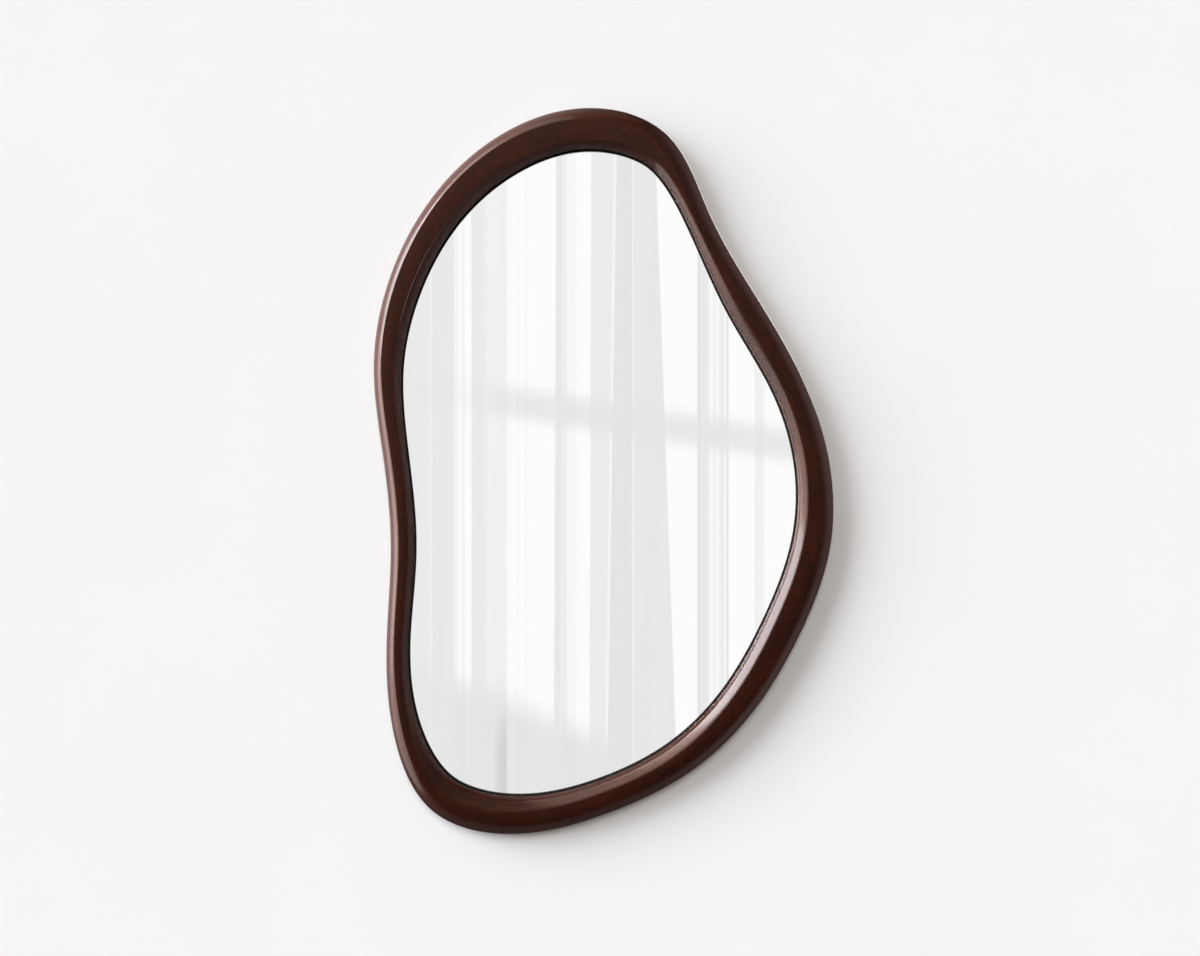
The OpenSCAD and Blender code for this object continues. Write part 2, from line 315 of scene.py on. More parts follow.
def remember_grain(piece: bpy.types.Object, places: Sequence[float]) -> None:
    """Stores where each point lies in the uncut wood, whose grain runs along X."""
    store = piece.data.attributes.new(GRAIN, "FLOAT_VECTOR", "POINT")
    store.data.foreach_set("vector", places)


def mount(
    piece: bpy.types.Object, slot: Slot, finish: bpy.types.Material, node: str, body: Body = Body.MIRROR
) -> None:
    """Dresses a finished piece, ties it to its body and reports it.

    Args:
        piece: the finished object.
        slot: the record's material slot.
        finish: its material.
        node: the CAD node that it stands for.
        body: the body it rides on.
    """
    piece.data.materials.clear()
    piece.data.materials.append(finish)
    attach(piece, body.value)
    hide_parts(node)
    LOG.info("%s: %d faces, %s", piece.name, len(piece.data.polygons), slot.value)


def dress_node(name: str, finish: bpy.types.Material) -> None:
    """Gives a CAD node that stays in view its material.

    Args:
        name: the node's name.
        finish: its material.
    """
    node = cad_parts[name]
    node.data.materials.clear()
    node.data.materials.append(finish)
    LOG.info("%s: kept from the CAD model", name)


# shader graphs


@dataclass(frozen=True)
class Value:
    """An output in a node tree, whose arithmetic is written as Math nodes."""

    graph: "Graph"
    socket: bpy.types.NodeSocket

    def __add__(self, other: Any) -> "Value":
        """The sum of this value and another."""
        return self.graph.maths("ADD", self, other)

    def __sub__(self, other: Any) -> "Value":
        """This value less another."""
        return self.graph.maths("SUBTRACT", self, other)

    def __rsub__(self, other: float) -> "Value":
        """A number less this value."""
        return self.graph.maths("SUBTRACT", other, self)

    def __mul__(self, other: Any) -> "Value":
        """The product of this value and another."""
        return self.graph.maths("MULTIPLY", self, other)

    def __truediv__(self, other: float) -> "Value":
        """This value divided by a number."""
        return self.graph.maths("DIVIDE", self, other)

    def eased(self, low: Any, high: Any, to_low: float = 0, to_high: float = 1) -> "Value":
        """This value eased from one range to another."""
        feeds = {0: self, 1: low, 2: high, 3: to_low, 4: to_high}
        return self.graph.value("ShaderNodeMapRange", feeds, interpolation_type="SMOOTHSTEP")


class Graph:
    """Writes a node tree in few words."""

    def __init__(self, tree: bpy.types.NodeTree) -> None:
        """Keeps the tree that is written to."""
        self.tree = tree

    def feed(self, inputs: Any, feeds: Feeds) -> None:
        """Links or sets inputs of a node.

        Args:
            inputs: all inputs of the node.
            feeds: a value, number, vector or colour for each input, by name or number.
        """
        for key, value in feeds.items():
            if isinstance(value, Value):
                self.tree.links.new(value.socket, inputs[key])
            elif inputs[key].type == "RGBA":
                inputs[key].default_value = (*value, 1.0)
            else:
                inputs[key].default_value = value

    def add(self, kind: str, feeds: Feeds | None = None, **settings: Any) -> bpy.types.Node:
        """Adds a node, sets it and feeds its inputs.

        Args:
            kind: the node's type.
            feeds: what its inputs get.
            **settings: the node's own settings.

        Returns:
            The new node.
        """
        node = self.tree.nodes.new(kind)
        for name, value in settings.items():
            setattr(node, name, value)
        self.feed(node.inputs, feeds or {})
        return node

    def value(self, kind: str, feeds: Feeds | None = None, **settings: Any) -> Value:
        """The first output of a new node."""
        return Value(self, self.add(kind, feeds, **settings).outputs[0])

    def read(self, kind: str, feeds: Feeds | None = None, **settings: Any) -> dict[str, Value]:
        """All outputs of a new node, by name."""
        return {output.name: Value(self, output) for output in self.add(kind, feeds, **settings).outputs}

    def maths(self, operation: str, a: Any, b: Any = 0.0) -> Value:
        """The result of a Math node."""
        return self.value("ShaderNodeMath", {0: a, 1: b}, operation=operation)

    def mix(self, share: Any, a: Any, b: Any) -> Value:
        """A colour mixed from two."""
        node = self.add("ShaderNodeMix", {0: share, 6: a, 7: b}, data_type="RGBA")
        return Value(self, node.outputs[2])

    def axes(self, vector: Value) -> list[Value]:
        """The three parts of a vector."""
        return list(self.read("ShaderNodeSeparateXYZ", {0: vector}).values())

    def vector(self, x: Any, y: Any = 0.0, z: Any = 0.0) -> Value:
        """A vector from its three parts."""
        return self.value("ShaderNodeCombineXYZ", {0: x, 1: y, 2: z})

    def noise(self, place: Value, scale: Any = 1, detail: float = 2, roughness: float = 0.5) -> Value:
        """Noise from 0 to 1."""
        feeds = {"Vector": place, "Scale": scale, "Detail": detail, "Roughness": roughness}
        return self.value("ShaderNodeTexNoise", feeds)

    def stretched(self, place: Value, scale: Sequence[float], tilt: float = 0) -> Value:
        """Coordinates turned about Y and scaled along each axis."""
        return self.value("ShaderNodeMapping", {"Vector": place, "Scale": scale, "Rotation": (0, tilt, 0)})

    def bump(self, height: Value, depth_mm: float, strength: float = 1) -> Value:
        """The direction of a surface that a height map raises."""
        feeds = {"Strength": strength, "Distance": depth_mm * MM, "Height": height}
        return self.value("ShaderNodeBump", feeds)

    def place(self) -> Value:
        """The coordinates of the piece's own mesh."""
        return self.read("ShaderNodeTexCoord")["Object"]

    def grain(self, along: float, across: float) -> dict[str, Value]:
        """Wood grain in the direction that the mesh remembers."""
        place = self.read("ShaderNodeAttribute", attribute_name=GRAIN)["Vector"]
        return self.use(EFFECTS.grain, {"Vector": place, "Along": along, "Across": across})

    def speckle(self, fineness: float) -> dict[str, Value]:
        """Fine and broad spots over the piece."""
        return self.use(EFFECTS.speckle, {"Vector": self.place(), "Fineness": fineness})

    def use(self, group: bpy.types.NodeTree, feeds: Feeds) -> dict[str, Value]:
        """The outputs of a shared group, by name."""
        return self.read("ShaderNodeGroup", feeds, node_tree=group)


def empty_graph(owner: bpy.types.Material | bpy.types.World) -> Graph:
    """Gives a material or a world an empty node tree.

    Args:
        owner: the material or world.

    Returns:
        The graph that writes the tree.
    """
    owner.use_nodes = True
    owner.node_tree.nodes.clear()
    return Graph(owner.node_tree)


def new_group(name: str, takes: Sequence[str], gives: Sequence[str]) -> tuple[Graph, dict[str, Value], Any]:
    """Starts a shader node group.

    Args:
        name: the group's name.
        takes: names of its inputs, all values but the one called Vector.
        gives: names of its outputs, all values.

    Returns:
        The graph inside the group, what it is given and the inputs of its output node.
    """
    tree = bpy.data.node_groups.new(name, "ShaderNodeTree")
    for label in takes:
        kind = "Vector" if label == "Vector" else "Float"
        tree.interface.new_socket(label, in_out="INPUT", socket_type=f"NodeSocket{kind}")
    for label in gives:
        tree.interface.new_socket(label, in_out="OUTPUT", socket_type="NodeSocketFloat")
    graph = Graph(tree)
    return graph, graph.read("NodeGroupInput"), graph.add("NodeGroupOutput").inputs


class Effects:
    """The shared node groups: wood grain, speckle and a band for the curtain's painted shade."""

    WANDER_SCALE = (4, 30, 30)
    WANDER = 0.006

    def __init__(self) -> None:
        """Builds each group once."""
        self.grain = self._grain()
        self.speckle = self._speckle()
        self.fold = self._fold()

    def _grain(self) -> bpy.types.NodeTree:
        """Wood grain along X: fine streaks, broad tone and short pores.

        Returns:
            The group.
        """
        graph, given, result = new_group(
            "wood_grain", ("Vector", "Along", "Across"), ("Streak", "Tone", "Pore")
        )
        along, across, up = graph.axes(given["Vector"])
        wander = graph.noise(graph.stretched(given["Vector"], self.WANDER_SCALE), 1, 1)
        across = across + (wander - 0.5) * self.WANDER
        for label, length, width, detail, low, high in (
            ("Streak", 1.0, 1.0, 2, 0.36, 0.64),
            ("Tone", 0.14, 0.12, 2, 0.34, 0.66),
            ("Pore", 1.3, 1.3, 1, 0.54, 0.66),
        ):
            fine = given["Across"] * width
            place = graph.vector(along * (given["Along"] * length), across * fine, up * fine)
            graph.feed(result, {label: graph.noise(place, 1, detail).eased(low, high)})
        return graph.tree

    def _speckle(self) -> bpy.types.NodeTree:
        """Fine uneven spots in two sizes.

        Returns:
            The group.
        """
        graph, given, result = new_group("speckle", ("Vector", "Fineness"), ("Fine", "Broad"))
        for label, share, low, high in (("Fine", 1.0, 0.34, 0.66), ("Broad", 0.06, 0.36, 0.64)):
            spots = graph.noise(given["Vector"], given["Fineness"] * share, 3)
            graph.feed(result, {label: spots.eased(low, high)})
        return graph.tree

    def _fold(self) -> bpy.types.NodeTree:
        """A soft-edged band between two places.

        Returns:
            The group.
        """
        graph, given, result = new_group(
            "fold", ("Place", "Left", "Right", "Soft left", "Soft right"), ("Band",)
        )
        place, left, right = given["Place"], given["Left"], given["Right"]
        rise = place.eased(left - given["Soft left"], left + given["Soft left"])
        fall = place.eased(right - given["Soft right"], right + given["Soft right"], 1, 0)
        graph.feed(result, {"Band": rise * fall})
        return graph.tree


EFFECTS = Effects()


# finishes


@dataclass(frozen=True)
class Finish:
    """A material of the mirror: one Principled shader and what its inputs get."""

    name: str

    def look(self, graph: Graph) -> Feeds:
        """What the shader's inputs get, as each finish says for itself."""
        raise NotImplementedError(self.name)

    def material(self) -> bpy.types.Material:
        """Builds the material.

        Returns:
            The finished material.
        """
        material = bpy.data.materials.new(self.name)
        graph = empty_graph(material)
        surface = graph.value("ShaderNodeBsdfPrincipled", self.look(graph))
        graph.add("ShaderNodeOutputMaterial", {"Surface": surface})
        return material


@dataclass(frozen=True)
class StainedWood(Finish):
    """Hardwood stained dark red-brown, with a satin lacquer over the open grain."""

    name: str = "stained_wood"
    deep: Colour = (0.0066, 0.0009, 0.0002)
    warm: Colour = (0.037, 0.0060, 0.0020)
    pore: Colour = (0.003, 0.0006, 0.0003)
    along: float = 120
    across: float = 800
    streak_share: float = 0.7
    contrast: Pair = (0.26, 0.74)
    pore_share: float = 0.6
    rough: Pair = (0.52, 0.41)
    sheen: float = 0.78
    sheen_tint: Colour = (1.0, 0.44, 0.33)
    lacquer: float = 0.9
    lacquer_rough: float = 0.15
    lacquer_ior: float = 1.62
    relief_mm: float = 0.055
    relief_strength: float = 0.6

    def look(self, graph: Graph) -> Feeds:
        """Streaks from deep to warm and dark open pores, under the lacquer.

        Args:
            graph: the material's graph.

        Returns:
            What the shader's inputs get.
        """
        grain = graph.grain(self.along, self.across)
        share = grain["Streak"] * self.streak_share + grain["Tone"] * (1 - self.streak_share)
        colour = graph.mix(share.eased(*self.contrast), self.deep, self.warm)
        relief = grain["Streak"] * 0.5 - grain["Pore"]
        return {
            "Base Color": graph.mix(grain["Pore"] * self.pore_share, colour, self.pore),
            "Roughness": grain["Streak"].eased(0, 1, *self.rough),
            "Specular IOR Level": self.sheen,
            "Specular Tint": self.sheen_tint,
            "Coat Weight": self.lacquer,
            "Coat Roughness": self.lacquer_rough,
            "Coat IOR": self.lacquer_ior,
            "Normal": graph.bump(relief, self.relief_mm, self.relief_strength),
        }


@dataclass(frozen=True)
class RawBeech(Finish):
    """Pale beech of the loose tenons, with its short dark flecks."""

    name: str = "raw_beech"
    pale: Colour = (0.62, 0.42, 0.24)
    warm: Colour = (0.50, 0.31, 0.16)
    fleck: Colour = (0.30, 0.16, 0.08)
    along: float = 90
    across: float = 1400
    fleck_share: float = 0.8
    rough: Pair = (0.62, 0.78)
    relief_mm: float = 0.04

    def look(self, graph: Graph) -> Feeds:
        """Pale streaks with flecks over them.

        Args:
            graph: the material's graph.

        Returns:
            What the shader's inputs get.
        """
        grain = graph.grain(self.along, self.across)
        colour = graph.mix(grain["Streak"], self.pale, self.warm)
        return {
            "Base Color": graph.mix(grain["Pore"] * self.fleck_share, colour, self.fleck),
            "Roughness": grain["Tone"].eased(0, 1, *self.rough),
            "Normal": graph.bump(grain["Streak"], self.relief_mm),
        }


@dataclass(frozen=True)
class Clouded(Finish):
    """A polished stuff whose colour hardly varies: the clear glass, or its bright silvering."""

    bright: Colour = WHITE
    dull: Colour = WHITE
    cloud_scale: float = 5
    cloud_detail: float = 2
    metallic: float = 0
    clearness: float = 0
    ior: float = 1.5

    def look(self, graph: Graph) -> Feeds:
        """Two near colours in soft clouds on a perfectly smooth surface.

        Args:
            graph: the material's graph.

        Returns:
            What the shader's inputs get.
        """
        cloud = graph.noise(graph.place(), self.cloud_scale, self.cloud_detail)
        return {
            "Base Color": graph.mix(cloud, self.bright, self.dull),
            "Metallic": self.metallic,
            "Roughness": 0.0,
            "IOR": self.ior,
            "Transmission Weight": self.clearness,
        }


@dataclass(frozen=True)
class Speckled(Finish):
    """A plain stuff with fine uneven spots: film, foam or rubber."""

    light: Colour
    dark: Colour
    fineness: float
    rough: Pair
    relief_mm: float
    clearness: float = 0
    broad_share: float = 0.25

    def look(self, graph: Graph) -> Feeds:
        """Fine spots over broader ones.

        Args:
            graph: the material's graph.

        Returns:
            What the shader's inputs get.
        """
        spots = graph.speckle(self.fineness)
        colour = graph.mix(spots["Fine"], self.dark, self.light)
        return {
            "Base Color": graph.mix(spots["Broad"] * self.broad_share, colour, self.dark),
            "Roughness": spots["Fine"].eased(0, 1, *self.rough),
            "Transmission Weight": self.clearness,
            "Normal": graph.bump(spots["Fine"], self.relief_mm),
        }


@dataclass(frozen=True)
class Fibreboard(Finish):
    """Thin brown fibreboard: matted fibres, darker specks and a soft mottle."""

    name: str = "fibreboard"
    pale: Colour = (0.40, 0.26, 0.155)
    brown: Colour = (0.25, 0.15, 0.085)
    speck: Colour = (0.11, 0.065, 0.04)
    level: tuple[float, ...] = (420, 420, 1500)
    tilted: tuple[float, ...] = (300, 300, 1300)
    tilt: float = 0.9
    fibre: Pair = (0.72, 1.28)
    fineness: float = 700
    broad_share: float = 0.35
    speck_scale: float = 1600
    specks: Pair = (0.70, 0.76)
    rough: Pair = (0.62, 0.85)
    relief_mm: float = 0.05

    def look(self, graph: Graph) -> Feeds:
        """Fibres in two directions with specks between them.

        Args:
            graph: the material's graph.

        Returns:
            What the shader's inputs get.
        """
        place = graph.place()
        level = graph.noise(graph.stretched(place, self.level), 1, 3, 0.6)
        tilted = graph.noise(graph.stretched(place, self.tilted, self.tilt), 1, 3, 0.6)
        fibre = (level + tilted).eased(*self.fibre)
        mottle = graph.speckle(self.fineness)["Broad"] * self.broad_share
        colour = graph.mix(mottle, graph.mix(fibre, self.brown, self.pale), self.brown)
        specks = graph.noise(place, self.speck_scale, 0).eased(*self.specks)
        return {
            "Base Color": graph.mix(specks, colour, self.speck),
            "Roughness": fibre.eased(0, 1, *self.rough),
            "Normal": graph.bump(fibre, self.relief_mm),
        }


@dataclass(frozen=True)
class ZincSteel(Finish):
    """Bright zinc plating, a little cloudy and finely scratched."""

    name: str = "zinc_steel"
    bright: Colour = (0.72, 0.73, 0.75)
    cloudy: Colour = (0.56, 0.58, 0.62)
    fineness: float = 2600
    scratch: tuple[float, ...] = (300, 300, 6000)
    tilt: float = 0.5
    rough: Pair = (0.24, 0.38)
    scratch_rough: float = 0.1
    relief_mm: float = 0.004

    def look(self, graph: Graph) -> Feeds:
        """Clouds of two tones with fine scratches.

        Args:
            graph: the material's graph.

        Returns:
            What the shader's inputs get.
        """
        spots = graph.speckle(self.fineness)
        scratches = graph.noise(graph.stretched(graph.place(), self.scratch, self.tilt), 1, 2)
        worn = scratches.eased(0.4, 0.7, 0, self.scratch_rough)
        return {
            "Base Color": graph.mix(spots["Broad"], self.bright, self.cloudy),
            "Metallic": 1.0,
            "Roughness": spots["Broad"].eased(0, 1, *self.rough) + worn,
            "Normal": graph.bump(scratches + spots["Fine"], self.relief_mm),
        }


class Finishes:
    """Every finish of the mirror, made once."""

    def __init__(self) -> None:
        """Builds the materials."""
        self.wood = StainedWood().material()
        self.beech = RawBeech().material()
        self.board = Fibreboard().material()
        self.zinc = ZincSteel().material()
        self.glass = Clouded("clear_glass", (0.99, 1.0, 0.995), WHITE, 9, 1, clearness=1).material()
        self.silver = Clouded(
            "silvering", (0.985, 0.985, 0.98), (0.975, 0.978, 0.975), metallic=1
        ).material()
        self.film = Speckled(
            "safety_film", (0.66, 0.69, 0.72), (0.58, 0.61, 0.65), 1500, (0.35, 0.5), 0.01
        ).material()
        self.foam = Speckled(
            "foam_tape", (0.022, 0.021, 0.021), (0.008, 0.008, 0.008), 3200, (0.85, 1.0), 0.15
        ).material()
        self.rubber = Speckled(
            "clear_rubber", (0.84, 0.84, 0.80), (0.76, 0.76, 0.71), 1100, (0.22, 0.38), 0.01, 0.55
        ).material()


# outline and section


@dataclass(frozen=True)
class Outline:
    """The closed free-form line of the frame's outer edge, as the CAD source draws it.

    Each row is a point on the edge, clockwise from the top, and the frame there:
    x, z, width, inner slope and outer shoulder in millimetres.
    """

    rows: tuple[tuple[float, ...], ...] = (
        (-26, 449, 51.0, 7.5, 16.5),
        (79, 417, 46.0, 8.5, 18.5),
        (132, 319, 31.0, 7.5, 20.0),
        (187, 221, 40.0, 11.0, 15.5),
        (243, 123, 40.0, 10.5, 13.5),
        (279, 17, 42.0, 10.5, 14.5),
        (281, -95, 47.0, 11.0, 15.5),
        (244, -201, 47.5, 11.5, 14.5),
        (186, -297, 45.0, 12.0, 13.0),
        (105, -374, 42.5, 13.0, 14.5),
        (4, -424, 42.0, 13.0, 14.0),
        (-105, -449, 46.5, 16.0, 14.0),
        (-211, -421, 47.0, 18.0, 15.5),
        (-260, -322, 33.0, 9.5, 13.5),
        (-268, -209, 27.5, 6.5, 11.0),
        (-263, -97, 30.0, 7.0, 11.5),
        (-272, 15, 30.0, 6.0, 11.5),
        (-284, 127, 35.0, 8.0, 11.0),
        (-265, 237, 40.5, 9.5, 11.0),
        (-213, 337, 44.5, 8.5, 11.5),
        (-132, 413, 49.0, 7.5, 13.5),
    )
    height: float = 900
    width: float = 570
    first_joint: float = 0.7
    pieces: int = 7
    stations_each: int = 26
    control: np.ndarray = field(init=False, repr=False, compare=False)

    def __post_init__(self) -> None:
        """Solves the cubic curve through the rows and fits it to the mirror's size."""
        rows = np.array(self.rows, float)
        count = len(rows)
        weights = np.eye(count) * 4
        for i in range(count):
            weights[i, (i - 1) % count] = weights[i, (i + 1) % count] = 1
        control = np.linalg.solve(weights / 6, rows)
        object.__setattr__(self, "control", control)
        drawn = np.array([self.row(self.station(k))[:2] for k in range(self.stations)])
        low, high = drawn.min(0), drawn.max(0)
        control[:, :2] = (control[:, :2] - (low + high) / 2) * (self.width, self.height) / (high - low)

    @property
    def stations(self) -> int:
        """Number of stations round the whole frame."""
        return self.pieces * self.stations_each

    def station(self, k: float) -> float:
        """Place of station k, counted in outline points."""
        return self.first_joint + len(self.rows) * k / self.stations

    def row(self, t: float) -> np.ndarray:
        """The row at any place t.

        Args:
            t: the place, counted in outline points.

        Returns:
            x, z, width, inner slope and outer shoulder there.
        """
        i = math.floor(t)
        f = t - i
        g = 1 - f
        weights = (g**3, 3 * f**3 - 6 * f**2 + 4, 3 * g**3 - 6 * g**2 + 4, f**3)
        near = [self.control[(i + n) % len(self.rows)] for n in (-1, 0, 1, 2)]
        return np.dot(weights, near) / 6

    def along(self, t: float) -> np.ndarray:
        """Unit vector along the edge at place t, as x and z."""
        step = (self.row(t + NUDGE) - self.row(t - NUDGE))[:2]
        return step / np.hypot(*step)

    def inward(self, t: float) -> np.ndarray:
        """Unit vector square to the edge at place t, towards the glass."""
        a = self.along(t)
        return np.array([a[1], -a[0]])

    def place(self, t: float, u: float) -> np.ndarray:
        """The point at place t and distance u from the outer edge, as x and z."""
        return self.row(t)[:2] + self.inward(t) * u

    def from_lip(self, t: float, d: float) -> np.ndarray:
        """The point at place t and distance d out from the edge of the glass opening."""
        return self.place(t, self.row(t)[2] - d)


@dataclass(frozen=True)
class Stack:
    """Heights above the frame's back, and the steps that hold glass and board."""

    bumper: float = 5
    recess: float = 3
    board: float = 3
    film: float = 0.2
    glass: float = 4
    tape: float = 0.8
    lip_wall: float = 10
    glass_step: float = 5.5
    board_step: float = 7.5
    edge_gap: float = 1

    @property
    def steps(self) -> float:
        """Width of the two steps together, from the edge of the opening."""
        return self.glass_step + self.board_step

    @property
    def film_h(self) -> float:
        """Height where the safety film begins."""
        return self.recess + self.board

    @property
    def glass_h(self) -> float:
        """Height where the glass begins."""
        return self.film_h + self.film

    @property
    def sight_h(self) -> float:
        """Height of the underside of the lip."""
        return self.glass_h + self.glass + self.tape

    @property
    def lip_h(self) -> float:
        """Height of the lip's edge."""
        return self.sight_h + self.lip_wall

    def y(self, height: float) -> float:
        """The Y of a height above the frame's back, in metres."""
        return -(self.bumper + height) * MM


@dataclass(frozen=True)
class Section:
    """The frame's section: chamfer, shoulder, crowned face, slope, lip and two steps."""

    stack: Stack = Stack()
    depth: float = 30
    side: float = 12
    crown: float = 0.3
    crease_tilt: float = 26
    lip_share: float = 0.2
    lip_rise: float = 3
    bulge: float = 0.15
    chamfer: float = 0.8
    least_face: float = 1
    shoulder_steps: int = 16
    face_steps: int = 8
    slope_steps: int = 7
    corner_steps: int = 4
    ease: float = 0.25
    ease_crease: float = 0.12
    ease_lip: float = 0.35
    ease_step: float = 0.2
    ease_share: float = 0.3
    guard: float = 0.25
    quirk: float = 0.35
    quirk_deep: float = 0.55
    quirk_foot: float = 0.1
    seam: float = 0.4
    seam_deep: float = 0.45

    def corners(self, width: float, slope: float, shoulder: float) -> list[tuple[float, float, float]]:
        """The section before its corners are eased.

        Args:
            width: from the outer side to the edge of the opening.
            slope: width of the inner slope.
            shoulder: width of the outer shoulder.

        Returns:
            Distance, height and easing of each point, from the back outer edge round the front.
        """
        s = self.stack
        crease = width - slope
        lip = width - slope * self.lip_share
        shoulder = min(shoulder, crease - self.least_face)
        top = self.depth - self.crown
        low = s.lip_h + self.lip_rise
        tilt = math.radians(self.crease_tilt)
        reach = shoulder / (1 - math.sin(tilt))
        rise = (top - self.side) / math.cos(tilt)
        points = [(self.chamfer, 0, self.ease), (0, self.chamfer, self.ease)]
        for i in range(self.shoulder_steps + 1):
            a = math.pi / 2 - (math.pi / 2 - tilt) * i / self.shoulder_steps
            ease = self.ease if i == self.shoulder_steps else 0
            points.append((reach * (1 - math.sin(a)), self.side + rise * math.cos(a), ease))
        for i in range(1, self.face_steps + 1):
            f = i / self.face_steps
            height = self.depth - self.crown * (2 * f - 1) ** 2
            across = shoulder + (crease - self.seam - shoulder) * f
            points.append((across, height, self.ease_crease if f == 1 else 0))
        points.append((crease, top - self.seam_deep, 0))
        steep = (top - low) / (lip - crease)
        points.append((crease + self.seam, top - steep * self.seam, self.ease_crease))
        for i in range(1, self.slope_steps + 1):
            f = i / self.slope_steps
            height = top + (low - top) * f + 4 * self.bulge * f * (1 - f)
            points.append((crease + (lip - crease) * f - (self.quirk if f == 1 else 0), height, 0))
        fall = self.lip_rise / (width - lip)
        points += [
            (lip - self.quirk_foot, low - self.quirk_deep, 0),
            (lip + self.quirk, low - self.quirk * fall, 0),
            (width, s.lip_h, self.ease_lip),
            (width, s.sight_h, self.ease_step),
            (width - s.glass_step, s.sight_h, 0),
            (width - s.glass_step, s.film_h, self.ease_step),
            (width - s.steps, s.film_h, 0),
            (width - s.steps, 0, self.ease),
        ]
        return points

    def ring(self, width: float, slope: float, shoulder: float) -> list[Pair]:
        """The section with its corners eased, as distance and height.

        Args:
            width: from the outer side to the edge of the opening.
            slope: width of the inner slope.
            shoulder: width of the outer shoulder.

        Returns:
            The points of the closed section.
        """
        corners = self.corners(width, slope, shoulder)
        eased: list[Pair] = []
        for i, (u, h, ease) in enumerate(corners):
            here = Vector((u, h))
            if not ease:
                eased.append((u, h))
                continue
            before = Vector(corners[i - 1][:2]) - here
            after = Vector(corners[(i + 1) % len(corners)][:2]) - here
            room = before.length * self.ease_share, after.length * self.ease_share
            start = here + before.normalized() * min(ease, room[0])
            end = here + after.normalized() * min(ease, room[1])
            rounded = [
                start * (1 - f) ** 2 + here * 2 * f * (1 - f) + end * f**2
                for f in (n / self.corner_steps for n in range(self.corner_steps + 1))
            ]
            first = start + before.normalized() * min(self.guard, room[0])
            last = end + after.normalized() * min(self.guard, room[1])
            eased += [(point.x, point.y) for point in (first, *rounded, last)]
        return eased


@dataclass
class Assembly:
    """What every sub-assembly of the mirror needs: the frame's line, its heights and the finishes."""

    outline: Outline
    stack: Stack
    finishes: Finishes

    def on_back(self, t: float, u: float) -> Matrix:
        """A place on the frame's back: X along the edge, Y towards the glass, Z to the wall.

        Args:
            t: the place along the outline.
            u: the distance from the outer side in millimetres.

        Returns:
            The matrix of that place, in metres.
        """
        x, z = self.outline.place(t, u) * MM
        a, n = self.outline.along(t), self.outline.inward(t)
        return Matrix(
            (
                (a[0], n[0], 0, x),
                (0, 0, 1, -self.stack.bumper * MM),
                (a[1], n[1], 0, z),
                (0, 0, 0, 1),
            )
        )

    def on_land(self, t: float) -> Matrix:
        """The place on the frame's back midway between its outer side and the board's step."""
        return self.on_back(t, (self.outline.row(t)[2] - self.stack.steps) / 2)


# the wooden frame


